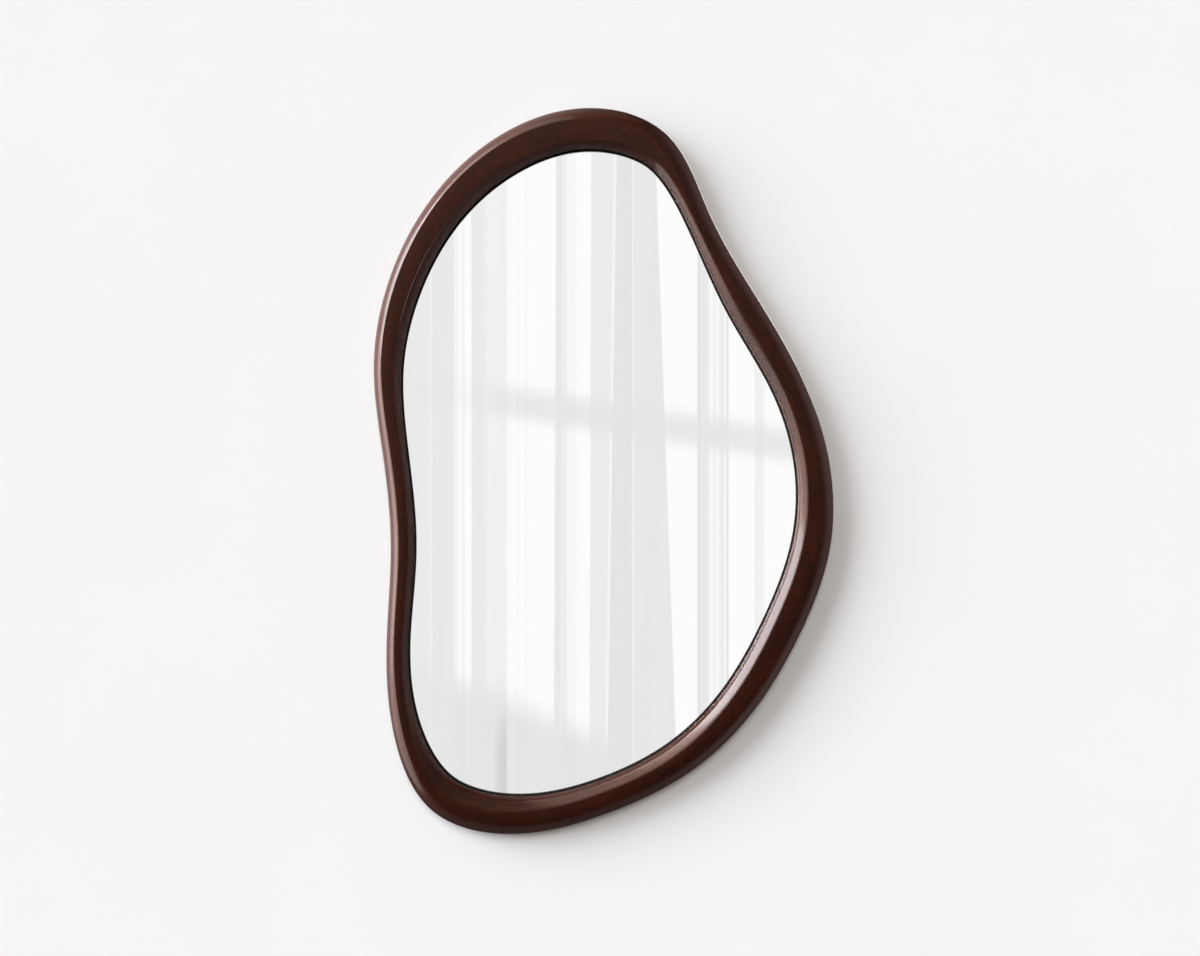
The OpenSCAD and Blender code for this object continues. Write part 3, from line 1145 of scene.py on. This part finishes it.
@dataclass
class WoodFrame(Assembly):
    """Seven jointed pieces of shaped wood and the loose tenons in their joints."""

    section: Section = Section()
    names: tuple[str, ...] = (
        "upper_right", "right", "lower_right", "bottom_left", "lower_left", "upper_left", "top",
    )
    joints: tuple[str, ...] = (
        "top_right", "right", "lower_right", "bottom", "lower_left", "left", "top_left",
    )
    fine: int = 4
    tenon_l: float = 30
    tenon_w: float = 15
    tenon_t: float = 5
    tenon_in: float = 9
    tenon_h: float = 13
    tenon_round: float = 2.45
    tenon_chamfer: float = 0.5
    grain_shift: tuple[float, ...] = (400, 90, 40)

    def build(self) -> None:
        """Shapes and dresses every piece."""
        for number, name in enumerate(self.names):
            piece = self._member(number, f"wood_{name}")
            mount(piece, Slot.FRAME_WOOD, self.finishes.wood, f"frame_{name}")
        self._tenons()

    def _member(self, number: int, name: str) -> bpy.types.Object:
        """Sweeps one piece between two joints, because no operator gives a changing section.

        Args:
            number: the piece's number, clockwise from the upper right.
            name: its name.

        Returns:
            The piece.
        """
        count = self.outline.stations_each * self.fine
        first = number * self.outline.stations_each
        places = [self.outline.station(first + k / self.fine) for k in range(count + 1)]
        middles = [self.outline.place(t, self.outline.row(t)[2] / 2) for t in places]
        lengths = [0.0, *np.cumsum(np.hypot(*np.diff(middles, axis=0).T))]
        points: list[tuple[float, float, float]] = []
        grain: list[float] = []
        for t, length in zip(places, lengths):
            x, z, width, slope, shoulder = self.outline.row(t)
            n = self.outline.inward(t)
            ring = self.section.ring(width, slope, shoulder)
            for u, h in ring:
                points.append(((x + n[0] * u) * MM, self.stack.y(h), (z + n[1] * u) * MM))
                uncut = zip((length, u, h), self.grain_shift)
                grain += [(place + shift * number) * MM for place, shift in uncut]
        around = len(ring)
        faces = [
            (k + i, k + (i + 1) % around, k + around + (i + 1) % around, k + around + i)
            for k in range(0, count * around, around)
            for i in range(around)
        ]
        faces.append(tuple(range(around - 1, -1, -1)))
        faces.append(tuple(range(count * around, (count + 1) * around)))
        piece = shell(name, points, faces)
        remember_grain(piece, grain)
        smooth(piece)
        return piece

    def _tenons(self) -> None:
        """Cuts one round-edged tenon and sets a copy in each joint."""
        clear_selection()
        bpy.ops.mesh.primitive_cube_add(size=1)
        master = bpy.context.object
        size = [side * MM for side in (self.tenon_l, self.tenon_t, self.tenon_w)]
        master.data.transform(Matrix.Diagonal((*size, 1)))
        with edit_mode(master) as mesh:
            for edge in mesh.edges:
                along = abs((edge.verts[0].co - edge.verts[1].co).normalized().x)
                edge.select_set(along > FACING)
            bpy.ops.mesh.bevel(offset=self.tenon_round * MM, segments=7, affect="EDGES")
            bpy.ops.mesh.select_all(action="DESELECT")
            pick_faces(mesh, lambda face: abs(face.normal.x) > FACING)
            bpy.ops.mesh.bevel(offset=self.tenon_chamfer * MM, segments=2, affect="EDGES")
        remember_grain(master, [part for vertex in master.data.vertices for part in vertex.co])
        smooth(master)
        for number, name in enumerate(self.joints):
            t = self.outline.station(number * self.outline.stations_each)
            place = self.on_back(t, self.tenon_in)
            place = place @ Matrix.Translation((0, 0, -self.tenon_h * MM))
            copy = placed_copy(master, f"beech_tenon_{name}", place)
            mount(copy, Slot.TENON_WOOD, self.finishes.beech, f"tenon_{name}")
        bpy.data.objects.remove(master)


# screws


@dataclass(frozen=True)
class WoodScrew:
    """A 3 x 12 mm wood screw with a cross recess, its tip downwards and Z = 0 at the wood."""

    head_r: float = 2.8
    head_h: float = 1.6
    head_rim: float = 0.1
    dome_from: float = 72
    shank_r: float = 1.5
    core_r: float = 1.25
    neck_r: float = 0.9
    tip_r: float = 0.15
    length: float = 12
    taper_l: float = 3.2
    pitch: float = 1.25
    thread_sides: int = 18
    thread_deep: float = 0.35
    thread_half: float = 0.28
    thread_end: float = 1.2
    thread_fade: float = 0.15
    bare_neck: float = 1.4
    blade_l: float = 2.9
    blade_t: float = 0.62
    blade_deep: float = 1.5
    blade_out: float = 0.4
    blade_taper: float = 0.55

    def countersunk(self) -> bpy.types.Object:
        """A screw whose flat head is flush with Z = 0.

        Returns:
            The screw.
        """
        r, h, rim = self.head_r, self.head_h, self.head_rim
        cone = [(self.shank_r + rim / 2, -h), (self.core_r, -h - 3 * rim)]
        head = [(r - rim, 0), (r, -1.2 * rim), (r, -2.2 * rim), *cone]
        return self._made("countersunk_screw", head, h + self.bare_neck, 0, 32)

    def round_head(self) -> bpy.types.Object:
        """A screw whose domed head stands on Z = 0.

        Returns:
            The screw.
        """
        r, h = self.head_r, self.head_h
        angles = np.linspace(math.radians(self.dome_from), 0, 8)
        dome = [(r * math.cos(a), h * math.sin(a)) for a in angles]
        return self._made("round_head_screw", [*dome, (self.core_r, -0.05)], h, h * 0.95, 40)

    def _made(
        self, name: str, head: Sequence[Pair], thread_at: float, crown: float, crisp: float
    ) -> bpy.types.Object:
        """Turns a screw, winds its thread and cuts its cross recess.

        Args:
            name: its name.
            head: radius and height of each step of the head, from the top down.
            thread_at: where the thread begins, below Z = 0.
            crown: height of the head's crown.
            crisp: the angle in degrees from which an edge stays crisp.

        Returns:
            The screw.
        """
        long = self.length
        point = [(self.core_r, self.taper_l - long), (self.neck_r, self.taper_l / 2 - long)]
        screw = turned(name, [*head, *point, (self.tip_r, -long)])
        self._add_thread(screw, thread_at)
        tall = self.blade_deep + self.blade_out
        middle = (0, 0, crown - self.blade_deep + tall / 2)
        carve(
            screw,
            slab("blade_long", (self.blade_l, self.blade_t, tall), middle, self.blade_taper),
            slab("blade_cross", (self.blade_t, self.blade_l, tall), middle, self.blade_taper),
        )
        smooth(screw, crisp)
        return screw

    def _add_thread(self, screw: bpy.types.Object, start: float) -> None:
        """Winds a thread round a screw's shank and joins it on.

        Args:
            screw: the turned screw.
            start: where the thread begins, below Z = 0.
        """
        sides, half = self.thread_sides, self.thread_half
        count = int((self.length - self.thread_end - start) / self.pitch * sides)
        core = self.shank_r - self.thread_deep
        points: list[tuple[float, float, float]] = []
        for k in range(count + 1):
            a = 2 * math.pi * k / sides
            z = -start - self.pitch * k / sides
            fade = min(1.0, k / sides, (count - k) / sides + self.thread_fade)
            for r, up in ((core, half), (core + self.thread_deep * fade, 0.0), (core, -half)):
                points.append((r * math.cos(a) * MM, r * math.sin(a) * MM, (z + up) * MM))
        faces: list[tuple[int, ...]] = [(2, 1, 0), (3 * count, 3 * count + 1, 3 * count + 2)]
        for k in range(0, 3 * count, 3):
            for i, j in ((0, 1), (1, 2), (2, 0)):
                faces.append((k + i, k + j, k + 3 + j, k + 3 + i))
        thread = shell("thread", points, faces)
        face_outwards(thread)
        hold(thread)
        screw.select_set(True)
        bpy.context.view_layer.objects.active = screw
        bpy.ops.object.join()


# glass and backing


@dataclass
class GlassPack(Assembly):
    """The mirror glass with its silvering, and the film, tape and cushions round it."""

    fine: int = 4
    arris: float = 0.4
    silver_in: float = 0.3
    silver_t: float = 0.05

    def build(self) -> None:
        """Makes the pane and its silvering and dresses the CAD nodes round them."""
        edge = self.stack.glass_step - self.stack.edge_gap
        low, high = self.stack.glass_h, self.stack.glass_h + self.stack.glass
        pane = self._sheet("glass_pane", edge, low, high)
        ease_edges(pane, self.arris, 60)
        mount(pane, Slot.GLASS, self.finishes.glass, "mirror_glass")
        layer = low + self.silver_t
        silver = self._sheet("silvering", edge - self.silver_in, layer, layer + self.silver_t)
        mount(silver, Slot.GLASS, self.finishes.silver, "mirror_glass")
        dress_node("safety_film", self.finishes.film)
        dress_node("glazing_tape", self.finishes.foam)
        for name in ("right", "bottom_right", "bottom_left", "left"):
            dress_node(f"edge_cushion_{name}", self.finishes.rubber)

    def _sheet(self, name: str, out: float, low: float, high: float) -> bpy.types.Object:
        """A flat sheet with the outline of the opening.

        Args:
            name: the piece's name.
            out: how far its edge reaches under the lip.
            low: its lower height above the frame's back.
            high: its upper height.

        Returns:
            The sheet.
        """
        count = self.outline.stations * self.fine
        places = [self.outline.station(k / self.fine) for k in range(count)]
        edge = [self.outline.from_lip(t, out) * MM for t in places]
        points = [(p[0], self.stack.y(h), p[1]) for h in (low, high) for p in edge]
        faces = [tuple(range(count)), tuple(range(2 * count - 1, count - 1, -1))]
        faces += [(i, count + i, count + (i + 1) % count, (i + 1) % count) for i in range(count)]
        piece = shell(name, points, faces)
        face_outwards(piece)
        return piece


@dataclass
class Backing(Assembly):
    """The back board and its countersunk screws."""

    screw: WoodScrew = WoodScrew()
    screws_each: int = 2
    turned_on: float = 37

    def build(self) -> None:
        """Dresses the board and sets the screws."""
        dress_node("back_board", self.finishes.board)
        master = self.screw.countersunk()
        rim = self.stack.board_step - self.stack.edge_gap
        for number in range(self.outline.pieces * self.screws_each):
            t = self.outline.station((number + 0.5) * self.outline.stations_each / self.screws_each)
            u = self.outline.row(t)[2] - self.stack.glass_step - rim / 2
            down = Matrix.Translation((0, 0, -self.stack.recess * MM))
            turn = Matrix.Rotation(math.radians(self.turned_on * number), 4, "Z")
            screw = placed_copy(master, f"board_screw_{number + 1:02d}", self.on_back(t, u) @ down @ turn)
            mount(screw, Slot.ZINC, self.finishes.zinc, "board_screws")
        bpy.data.objects.remove(master)


# hangers and bumpers


@dataclass
class Hanger(Assembly):
    """A strap with a rolled eye, its swinging ring and two round-head screws."""

    side: str
    body: Body
    place_at: float
    up: int
    wire_r: float = 1.2
    axis_h: float = 2.15
    strap_t: float = 1
    strap_w: float = 9.4
    leg_gap: float = 0.3
    leg_l: float = 2.5
    edge_ease: float = 0.12
    first_screw: float = 5.5
    screw_pitch: float = 10
    screw_turns: Pair = (25, 65)
    screw: WoodScrew = WoodScrew()

    @property
    def axis(self) -> Matrix:
        """The ring's axis: X across the strap, Y to the ring's tip and Z to the wall."""
        return (
            self.on_land(self.place_at)
            @ Matrix.Translation((0, 0, self.axis_h * MM))
            @ Matrix.Rotation(math.radians(-90 * self.up), 4, "Z")
        )

    def build(self) -> None:
        """Makes the ring and screws and eases the strap's edges."""
        ring = placed_copy(self._ring(), f"d_ring_{self.side}", self.axis)
        bpy.data.objects.remove(bpy.data.objects["ring_wire"])
        smooth(ring)
        mount(ring, Slot.ZINC, self.finishes.zinc, f"hanger_ring_{self.side}", self.body)
        strap = eased_copy(f"hanger_strap_{self.side}", f"rolled_strap_{self.side}", self.edge_ease)
        mount(strap, Slot.ZINC, self.finishes.zinc, f"hanger_strap_{self.side}")
        screw = self.screw.round_head()
        low = self.strap_t - self.axis_h
        for number, turn in enumerate(self.screw_turns):
            along = -(self.first_screw + self.screw_pitch * number)
            place = self.axis @ Matrix.Translation((0, along * MM, low * MM))
            place = place @ Matrix.Rotation(math.radians(turn), 4, "Z")
            copy = placed_copy(screw, f"hanger_screw_{self.side}_{number + 1}", place)
            mount(copy, Slot.ZINC, self.finishes.zinc, "hanger_screws")
        bpy.data.objects.remove(screw)

    def _ring(self) -> bpy.types.Object:
        """The ring as a round wire bent along a closed line, then made a mesh.

        Returns:
            The ring at the origin.
        """
        half = self.strap_w / 2
        bend = self.leg_gap + self.wire_r
        reach = half + bend
        bow = bend + self.leg_l
        quarter = np.linspace(0, math.pi / 2, 7)[1:]
        corner = [(half + bend * math.sin(a), bend * (1 - math.cos(a))) for a in quarter]
        line: list[Pair] = [(x, 0.0) for x in np.linspace(-half, half, 7)] + corner
        line += [(reach * math.cos(a), bow + reach * math.sin(a)) for a in np.linspace(0, math.pi, 33)]
        line += [(-x, y) for x, y in reversed(corner)]
        curve = bpy.data.curves.new("ring_wire", "CURVE")
        curve.dimensions = "3D"
        curve.bevel_depth = self.wire_r * MM
        curve.bevel_resolution = 6
        spline = curve.splines.new("POLY")
        spline.points.add(len(line) - 1)
        for point, (x, y) in zip(spline.points, line):
            point.co = (x * MM, y * MM, 0, 1)
        spline.use_cyclic_u = True
        hold(new_object("ring_wire", curve))
        bpy.ops.object.convert(target="MESH")
        return bpy.context.object


@dataclass
class Bumpers(Assembly):
    """Soft rubber bumpers that hold the frame off the wall."""

    places: tuple[tuple[str, float], ...] = (
        ("top_right", 1.2), ("bottom_right", 8), ("bottom_left", 11.6), ("top_left", 19.5),
    )
    radius: float = 6
    edge: float = 1
    edge_in: float = 1.2
    foot: float = 0.25
    sides: int = 56

    def build(self) -> None:
        """Turns one bumper and sets a copy at each place."""
        r, h, c = self.radius, self.stack.bumper, self.edge
        round_over = np.linspace(0, math.pi / 2, 6)
        dome = [(r - c + c * math.sin(a), h - c + c * math.cos(a)) for a in round_over]
        steps = [(r - c - self.edge_in, h), *dome, (r, self.foot), (r - self.foot, 0)]
        master = turned("bumper", steps, self.sides)
        smooth(master)
        for name, t in self.places:
            copy = placed_copy(master, f"rubber_bumper_{name}", self.on_land(t))
            mount(copy, Slot.RUBBER, self.finishes.rubber, f"bumper_{name}")
        bpy.data.objects.remove(master)


# the studio


@dataclass(frozen=True)
class Fold:
    """A fold of the curtain, made greyer by painted shade in the curtain's light, as it shows in the glass.

    Places are in metres from the middle of the picture, in the plane of the mirror. A lean
    is how far an edge moves to the right for each metre upwards.
    """

    left: float
    right: float
    soft_left: float
    soft_right: float
    depth: float
    lean_left: float = 0.0
    lean_right: float = 0.0

    def band(self, graph: Graph, across: Value, up: Value) -> Value:
        """How far a point is inside the fold, from 0 to 1.

        Args:
            graph: the curtain's graph.
            across: the point's place across the fold.
            up: its place upwards.

        Returns:
            The share.
        """
        feeds = {
            "Place": across,
            "Left": up * self.lean_left + self.left,
            "Right": up * self.lean_right + self.right,
            "Soft left": self.soft_left,
            "Soft right": self.soft_right,
        }
        return graph.use(EFFECTS.fold, feeds)["Band"]


@dataclass
class Studio:
    """Wall, floor, curtain, light and camera. None of them is part of the mirror."""

    eye: tuple[float, float, float] = (-0.0045, -2.085, -0.0087)
    lens: float = 50
    sensor: float = 36
    silver_y: float = -0.011
    curtain_y: float = -2.6
    wall_y: float = 0.0004
    floor_z: float = -1.35
    glass_path: float = 3.5
    paint_fineness: float = 60
    curtain_light: float = 1.03
    # fold_dark: how far the painted shade dims the curtain's light
    fold_dark: float = 0.21
    threads: tuple[Pair, ...] = ((420, 0.05), (70, 0.03))
    thread_slack: float = 0.02
    window: tuple[float, float, float] = (-0.84, 0.25, 0.48)
    window_glow: float = 1.05
    right_glow: float = 0.36
    floor_glow: float = 0.2
    ceiling_glow: float = 0.12
    sheen_glow: float = 0.7
    room_tint: Colour = (1.0, 0.78, 0.74)
    surround: Colour = (0.9, 0.9, 0.9)
    cool: Colour = (0.91, 1.03, 1.10)
    warm: Colour = (1.04, 0.97, 0.94)
    # the curtain's folds, each painted as a greyer band of shade in its light
    folds: tuple[Fold, ...] = (
        Fold(-0.300, -0.212, 0.020, 0.001, 0.75),
        Fold(-0.214, -0.207, 0.001, 0.001, 0.60),
        Fold(-0.209, -0.181, 0.001, 0.003, 0.82),
        Fold(-0.181, -0.176, 0.001, 0.002, 0.35),
        Fold(-0.172, -0.168, 0.001, 0.001, 0.35),
        Fold(-0.160, -0.137, 0.001, 0.012, 0.75),
        Fold(-0.150, -0.116, 0.012, 0.003, 0.50),
        Fold(-0.104, -0.101, 0.002, 0.002, 0.15),
        Fold(-0.093, -0.091, 0.001, 0.001, 0.25),
        Fold(-0.056, -0.047, 0.001, 0.003, 0.85, 0.004, 0.004),
        Fold(-0.049, -0.041, 0.002, 0.001, 0.60),
        Fold(-0.041, -0.030, 0.001, 0.004, 0.25),
        Fold(-0.012, 0.012, 0.001, 0.002, 0.68, 0.003, 0.015),
        Fold(0.010, 0.017, 0.001, 0.001, 0.30, 0.015, 0.015),
        Fold(0.0145, 0.040, 0.001, 0.001, 1.00, 0.015, 0.0),
        Fold(0.038, 0.044, 0.001, 0.001, 0.60),
        Fold(0.042, 0.083, 0.001, 0.001, 0.85, 0.0, -0.035),
        Fold(0.121, 0.127, 0.001, 0.003, 1.00),
        Fold(0.124, 0.136, 0.002, 0.004, 0.80),
        Fold(0.140, 0.145, 0.002, 0.002, 0.45),
        Fold(0.148, 0.155, 0.002, 0.001, 0.60),
        Fold(0.157, 0.160, 0.001, 0.001, 0.95),
        Fold(0.192, 0.204, 0.001, 0.003, 0.50),
    )
    wave_scale: float = 9
    # painted shade on the curtain: a darker slanted bar, one deep fold and the sill's shade
    bar_shade: Fold = Fold(0.058, 0.096, 0.014, 0.016, 0.8)
    bar_slope: float = 0.155
    deep: Fold = Fold(-0.132, -0.116, 0.012, 0.001, 2.0)
    sill_slope: float = 0.406
    sill_depth: float = 0.9

    def build(self) -> None:
        """Sets the whole studio up."""
        self._room()
        self._curtain()
        self._world()
        self._lights()
        self._camera()

    def _sheet(
        self, name: str, size: Pair, middle: Sequence[float], upright: bool, rays: Sequence[str]
    ) -> bpy.types.Object:
        """A flat staged sheet, facing the room or the ceiling.

        Args:
            name: its name.
            size: its two sizes in metres.
            middle: its middle.
            upright: True for a sheet that stands.
            rays: the kinds of ray that meet it; all others pass it by.

        Returns:
            The sheet.
        """
        clear_selection()
        bpy.ops.mesh.primitive_plane_add(size=1)
        sheet = bpy.context.object
        sheet.name = sheet.data.name = name
        turn = Matrix.Rotation(math.radians(90 if upright else 0), 4, "X")
        sheet.data.transform(Matrix.Translation(middle) @ turn @ Matrix.Diagonal((*size, 1, 1)))
        for kind in ("camera", "diffuse", "glossy", "transmission", "volume_scatter", "shadow"):
            setattr(sheet, f"visible_{kind}", kind in rays)
        return sheet

    def _paint(self, name: str, light: Colour, dark: Colour, one_sided: bool) -> bpy.types.Material:
        """Pale matt paint with a faint unevenness.

        Args:
            name: the material's name.
            light: its lighter tone.
            dark: its darker tone.
            one_sided: True for a paint that is clear when seen from behind.

        Returns:
            The material.
        """
        material = bpy.data.materials.new(name)
        graph = empty_graph(material)
        colour = graph.mix(graph.speckle(self.paint_fineness)["Broad"], light, dark)
        surface = graph.value("ShaderNodeBsdfDiffuse", {"Color": colour})
        if one_sided:
            back = graph.read("ShaderNodeNewGeometry")["Backfacing"]
            clear = graph.value("ShaderNodeBsdfTransparent")
            surface = graph.value("ShaderNodeMixShader", {0: back, 1: surface, 2: clear})
        graph.add("ShaderNodeOutputMaterial", {"Surface": surface})
        return material

    def _room(self) -> None:
        """The wall that the mirror hangs on, clear from behind, and a floor below the picture."""
        for name, size, middle, upright, light, dark in (
            ("wall", (9, 6), (0, self.wall_y, 0.6), True, (0.925, 0.93, 0.94), (0.915, 0.92, 0.93)),
            ("floor", (9, 9), (0, 0, self.floor_z), False, (0.81, 0.85, 0.86), (0.79, 0.83, 0.84)),
        ):
            sheet = self._sheet(name, size, middle, upright, ("camera",))
            sheet.data.materials.append(self._paint(f"{name}_paint", light, dark, upright))

    def _curtain(self) -> None:
        """A glowing sheet standing for a lit curtain behind the camera, with its folds as painted shade,
        which shows only in the glass.
        """
        middle = (0, self.curtain_y, 0.4)
        curtain = self._sheet("curtain", (10, 6), middle, True, ("glossy", "transmission"))
        material = bpy.data.materials.new("curtain_light")
        graph = empty_graph(material)
        to_glass = abs(self.eye[1] - self.silver_y)
        reach = (to_glass + abs(self.curtain_y - self.silver_y)) / to_glass
        axes = graph.axes(graph.place())
        x, z = (axes[0] - self.eye[0]) / reach, (axes[2] - self.eye[2]) / reach
        # the curtain's light is dimmed by its painted shade: folds, bar, deep fold and sill
        level = self._painted_shade(graph, x, z) * -self.fold_dark + self.curtain_light
        for fineness, depth in self.threads:
            threads = graph.noise(graph.vector(x, 0, z * self.thread_slack), fineness, 2)
            level = (threads - 0.5) * depth + level
        light = graph.value("ShaderNodeEmission", {"Color": WHITE, "Strength": level})
        clear = graph.value("ShaderNodeBsdfTransparent")
        surface = graph.value("ShaderNodeMixShader", {0: self._straight(graph), 1: clear, 2: light})
        graph.add("ShaderNodeOutputMaterial", {"Surface": surface})
        curtain.data.materials.append(material)

    def _painted_shade(self, graph: Graph, x: Value, z: Value) -> Value:
        """Painted shade in the curtain's light: its greyer folds, and over them a darker bar, the deep fold
        and the sill's painted shade.

        Every range is a stretch of x or z, in metres in the plane of the mirror.

        Args:
            graph: the curtain's graph.
            x: place across.
            z: place upwards.

        Returns:
            The painted shade, from 0 to about 1.
        """
        waves = graph.noise(graph.vector(x), self.wave_scale, 2).eased(0.47, 0.53)
        grey = graph.maths("ABSOLUTE", x).eased(0.27, 0.32) * waves
        for fold in self.folds:
            grey = graph.maths("MAXIMUM", grey, fold.band(graph, x, z) * fold.depth)
        # a darker slanted bar, a deep fold and the sill's shade, all painted shade over the folds
        bar_shade = self.bar_shade.band(graph, x * self.bar_slope + z, z) * x.eased(-0.19, -0.09, 0.15, 1)
        deep = self.deep.band(graph, x, z) * z.eased(-0.34, -0.24, 1, 0)
        sill_shade = (x * self.sill_slope + z).eased(-0.350, -0.298, 1, 0)
        sill_shade = sill_shade * x.eased(0.0, 0.06, 1, 0.1) * x.eased(-0.20, -0.17, 0.5, 1)
        for shade, depth in ((bar_shade, self.bar_shade.depth), (deep, self.deep.depth), (sill_shade, self.sill_depth)):
            grey = shade * grey.eased(0, 1.05, 1, 0) * depth + grey
        return grey

    def _straight(self, graph: Graph) -> Value:
        """True for a ray that reaches here by the glass alone, and not by way of the wood."""
        path = graph.read("ShaderNodeLightPath")
        return path["Is Singular Ray"] * graph.maths("LESS_THAN", path["Ray Depth"], self.glass_path)

    def _world(self) -> None:
        """Dim light from the room, the wall's own light from behind, and a pale surround."""
        world = bpy.data.worlds.new("room")
        bpy.context.scene.world = world
        graph = empty_graph(world)
        path = graph.read("ShaderNodeLightPath")
        direction = graph.read("ShaderNodeTexCoord")["Generated"]
        x, y, z = graph.axes(direction)
        side = x.eased(0.3, 0.95) * self.right_glow + z.eased(-0.9, -0.1, 1, 0) * self.floor_glow
        side = side * y.eased(-0.1, 0.5, 1, 0.5) * y.eased(-0.75, -0.15)
        above = z.eased(-0.3, 0.3, 0, self.ceiling_glow) * z.eased(0.5, 0.9, 1, 0.3)
        feeds = {0: direction, 1: self.window}
        facing = graph.read("ShaderNodeVectorMath", feeds, operation="DOT_PRODUCT")["Value"]
        glow = above + side + facing.eased(0.35, 0.95, 0, self.window_glow)
        sheen = graph.maths("GREATER_THAN", path["Ray Depth"], self.glass_path)
        sheen = sheen * y.eased(-0.9, -0.5, self.sheen_glow, 0) * (1 - path["Is Singular Ray"])
        tints = {i: glow * share + sheen for i, share in enumerate(self.room_tint)}
        dim = graph.value("ShaderNodeCombineColor", tints)
        seen = graph.maths("MAXIMUM", path["Is Camera Ray"], self._straight(graph))
        level = graph.mix(seen, dim, self.surround)
        background = graph.value("ShaderNodeBackground", {"Color": level, "Strength": 1.0})
        graph.add("ShaderNodeOutputWorld", {"Surface": background})

    def _sun(
        self, name: str, strength: float, spread: float, towards: Sequence[float], colour: Colour
    ) -> None:
        """Adds a distant soft light.

        Args:
            name: its name.
            strength: light on a surface square to it, in watts per square metre.
            spread: its width as seen from the mirror, in degrees.
            towards: the direction from the mirror to the light.
            colour: its colour.
        """
        lamp = bpy.data.lights.new(name, "SUN")
        lamp.energy = strength
        lamp.angle = math.radians(spread)
        lamp.color = colour
        light = new_object(name, lamp)
        light.rotation_euler = Vector(towards).to_track_quat("Z", "Y").to_euler()

    def _lights(self) -> None:
        """Soft light from the left, a fill from the camera's side, and a little from above."""
        for name, strength, spread, towards, colour in (
            ("window_low", 0.35, 25, (-0.975, -0.22, 0.035), self.warm),
            ("window_middle", 1.95, 34, (-0.80, -0.46, 0.385), self.cool),
            ("window_side", 0.3, 20, (-0.90, -0.10, 0.42), self.cool),
            ("window_high", 0.42, 30, (-0.62, -0.48, 0.62), self.warm),
            ("window_top", 0.38, 44, (-0.45, -0.53, 0.72), self.warm),
            ("room_left", 0.88, 52, (-0.95, -0.24, -0.22), self.warm),
            ("front_fill", 1.18, 26, (0.02, -1, 0.42), (1.01, 1.0, 0.965)),
            ("ceiling", 0.12, 50, (-0.1, -0.1, 1), (1.0, 0.72, 0.6)),
            ("back_fill", 0.5, 30, (0.35, 0.9, 0.4), WHITE),
        ):
            self._sun(name, strength, spread, towards, colour)
        fill = bpy.data.objects["front_fill"]
        fill.visible_glossy = False
        fill.visible_transmission = False

    def _camera(self) -> None:
        """The photograph's view: straight on, level and a little left of the mirror's middle."""
        data = bpy.data.cameras.new("camera")
        data.lens = self.lens
        data.sensor_width = self.sensor
        camera = new_object("camera", data)
        camera.location = self.eye
        camera.rotation_euler = (math.radians(90), 0, 0)
        bpy.context.scene.camera = camera


def main() -> None:
    """Builds the mirror's sub-assemblies in order, then the studio round them."""
    logging.basicConfig(level=logging.INFO, format="%(name)s: %(message)s")
    bpy.context.scene.view_settings.view_transform = "Standard"
    outline, stack, finishes = Outline(), Stack(), Finishes()
    WoodFrame(outline, stack, finishes).build()
    GlassPack(outline, stack, finishes).build()
    Backing(outline, stack, finishes).build()
    Hanger(outline, stack, finishes, "left", Body.RING_LEFT, 17.7, 1).build()
    Hanger(outline, stack, finishes, "right", Body.RING_RIGHT, 3.15, -1).build()
    Bumpers(outline, stack, finishes).build()
    Studio().build()


if __name__ == "__main__":
    main()
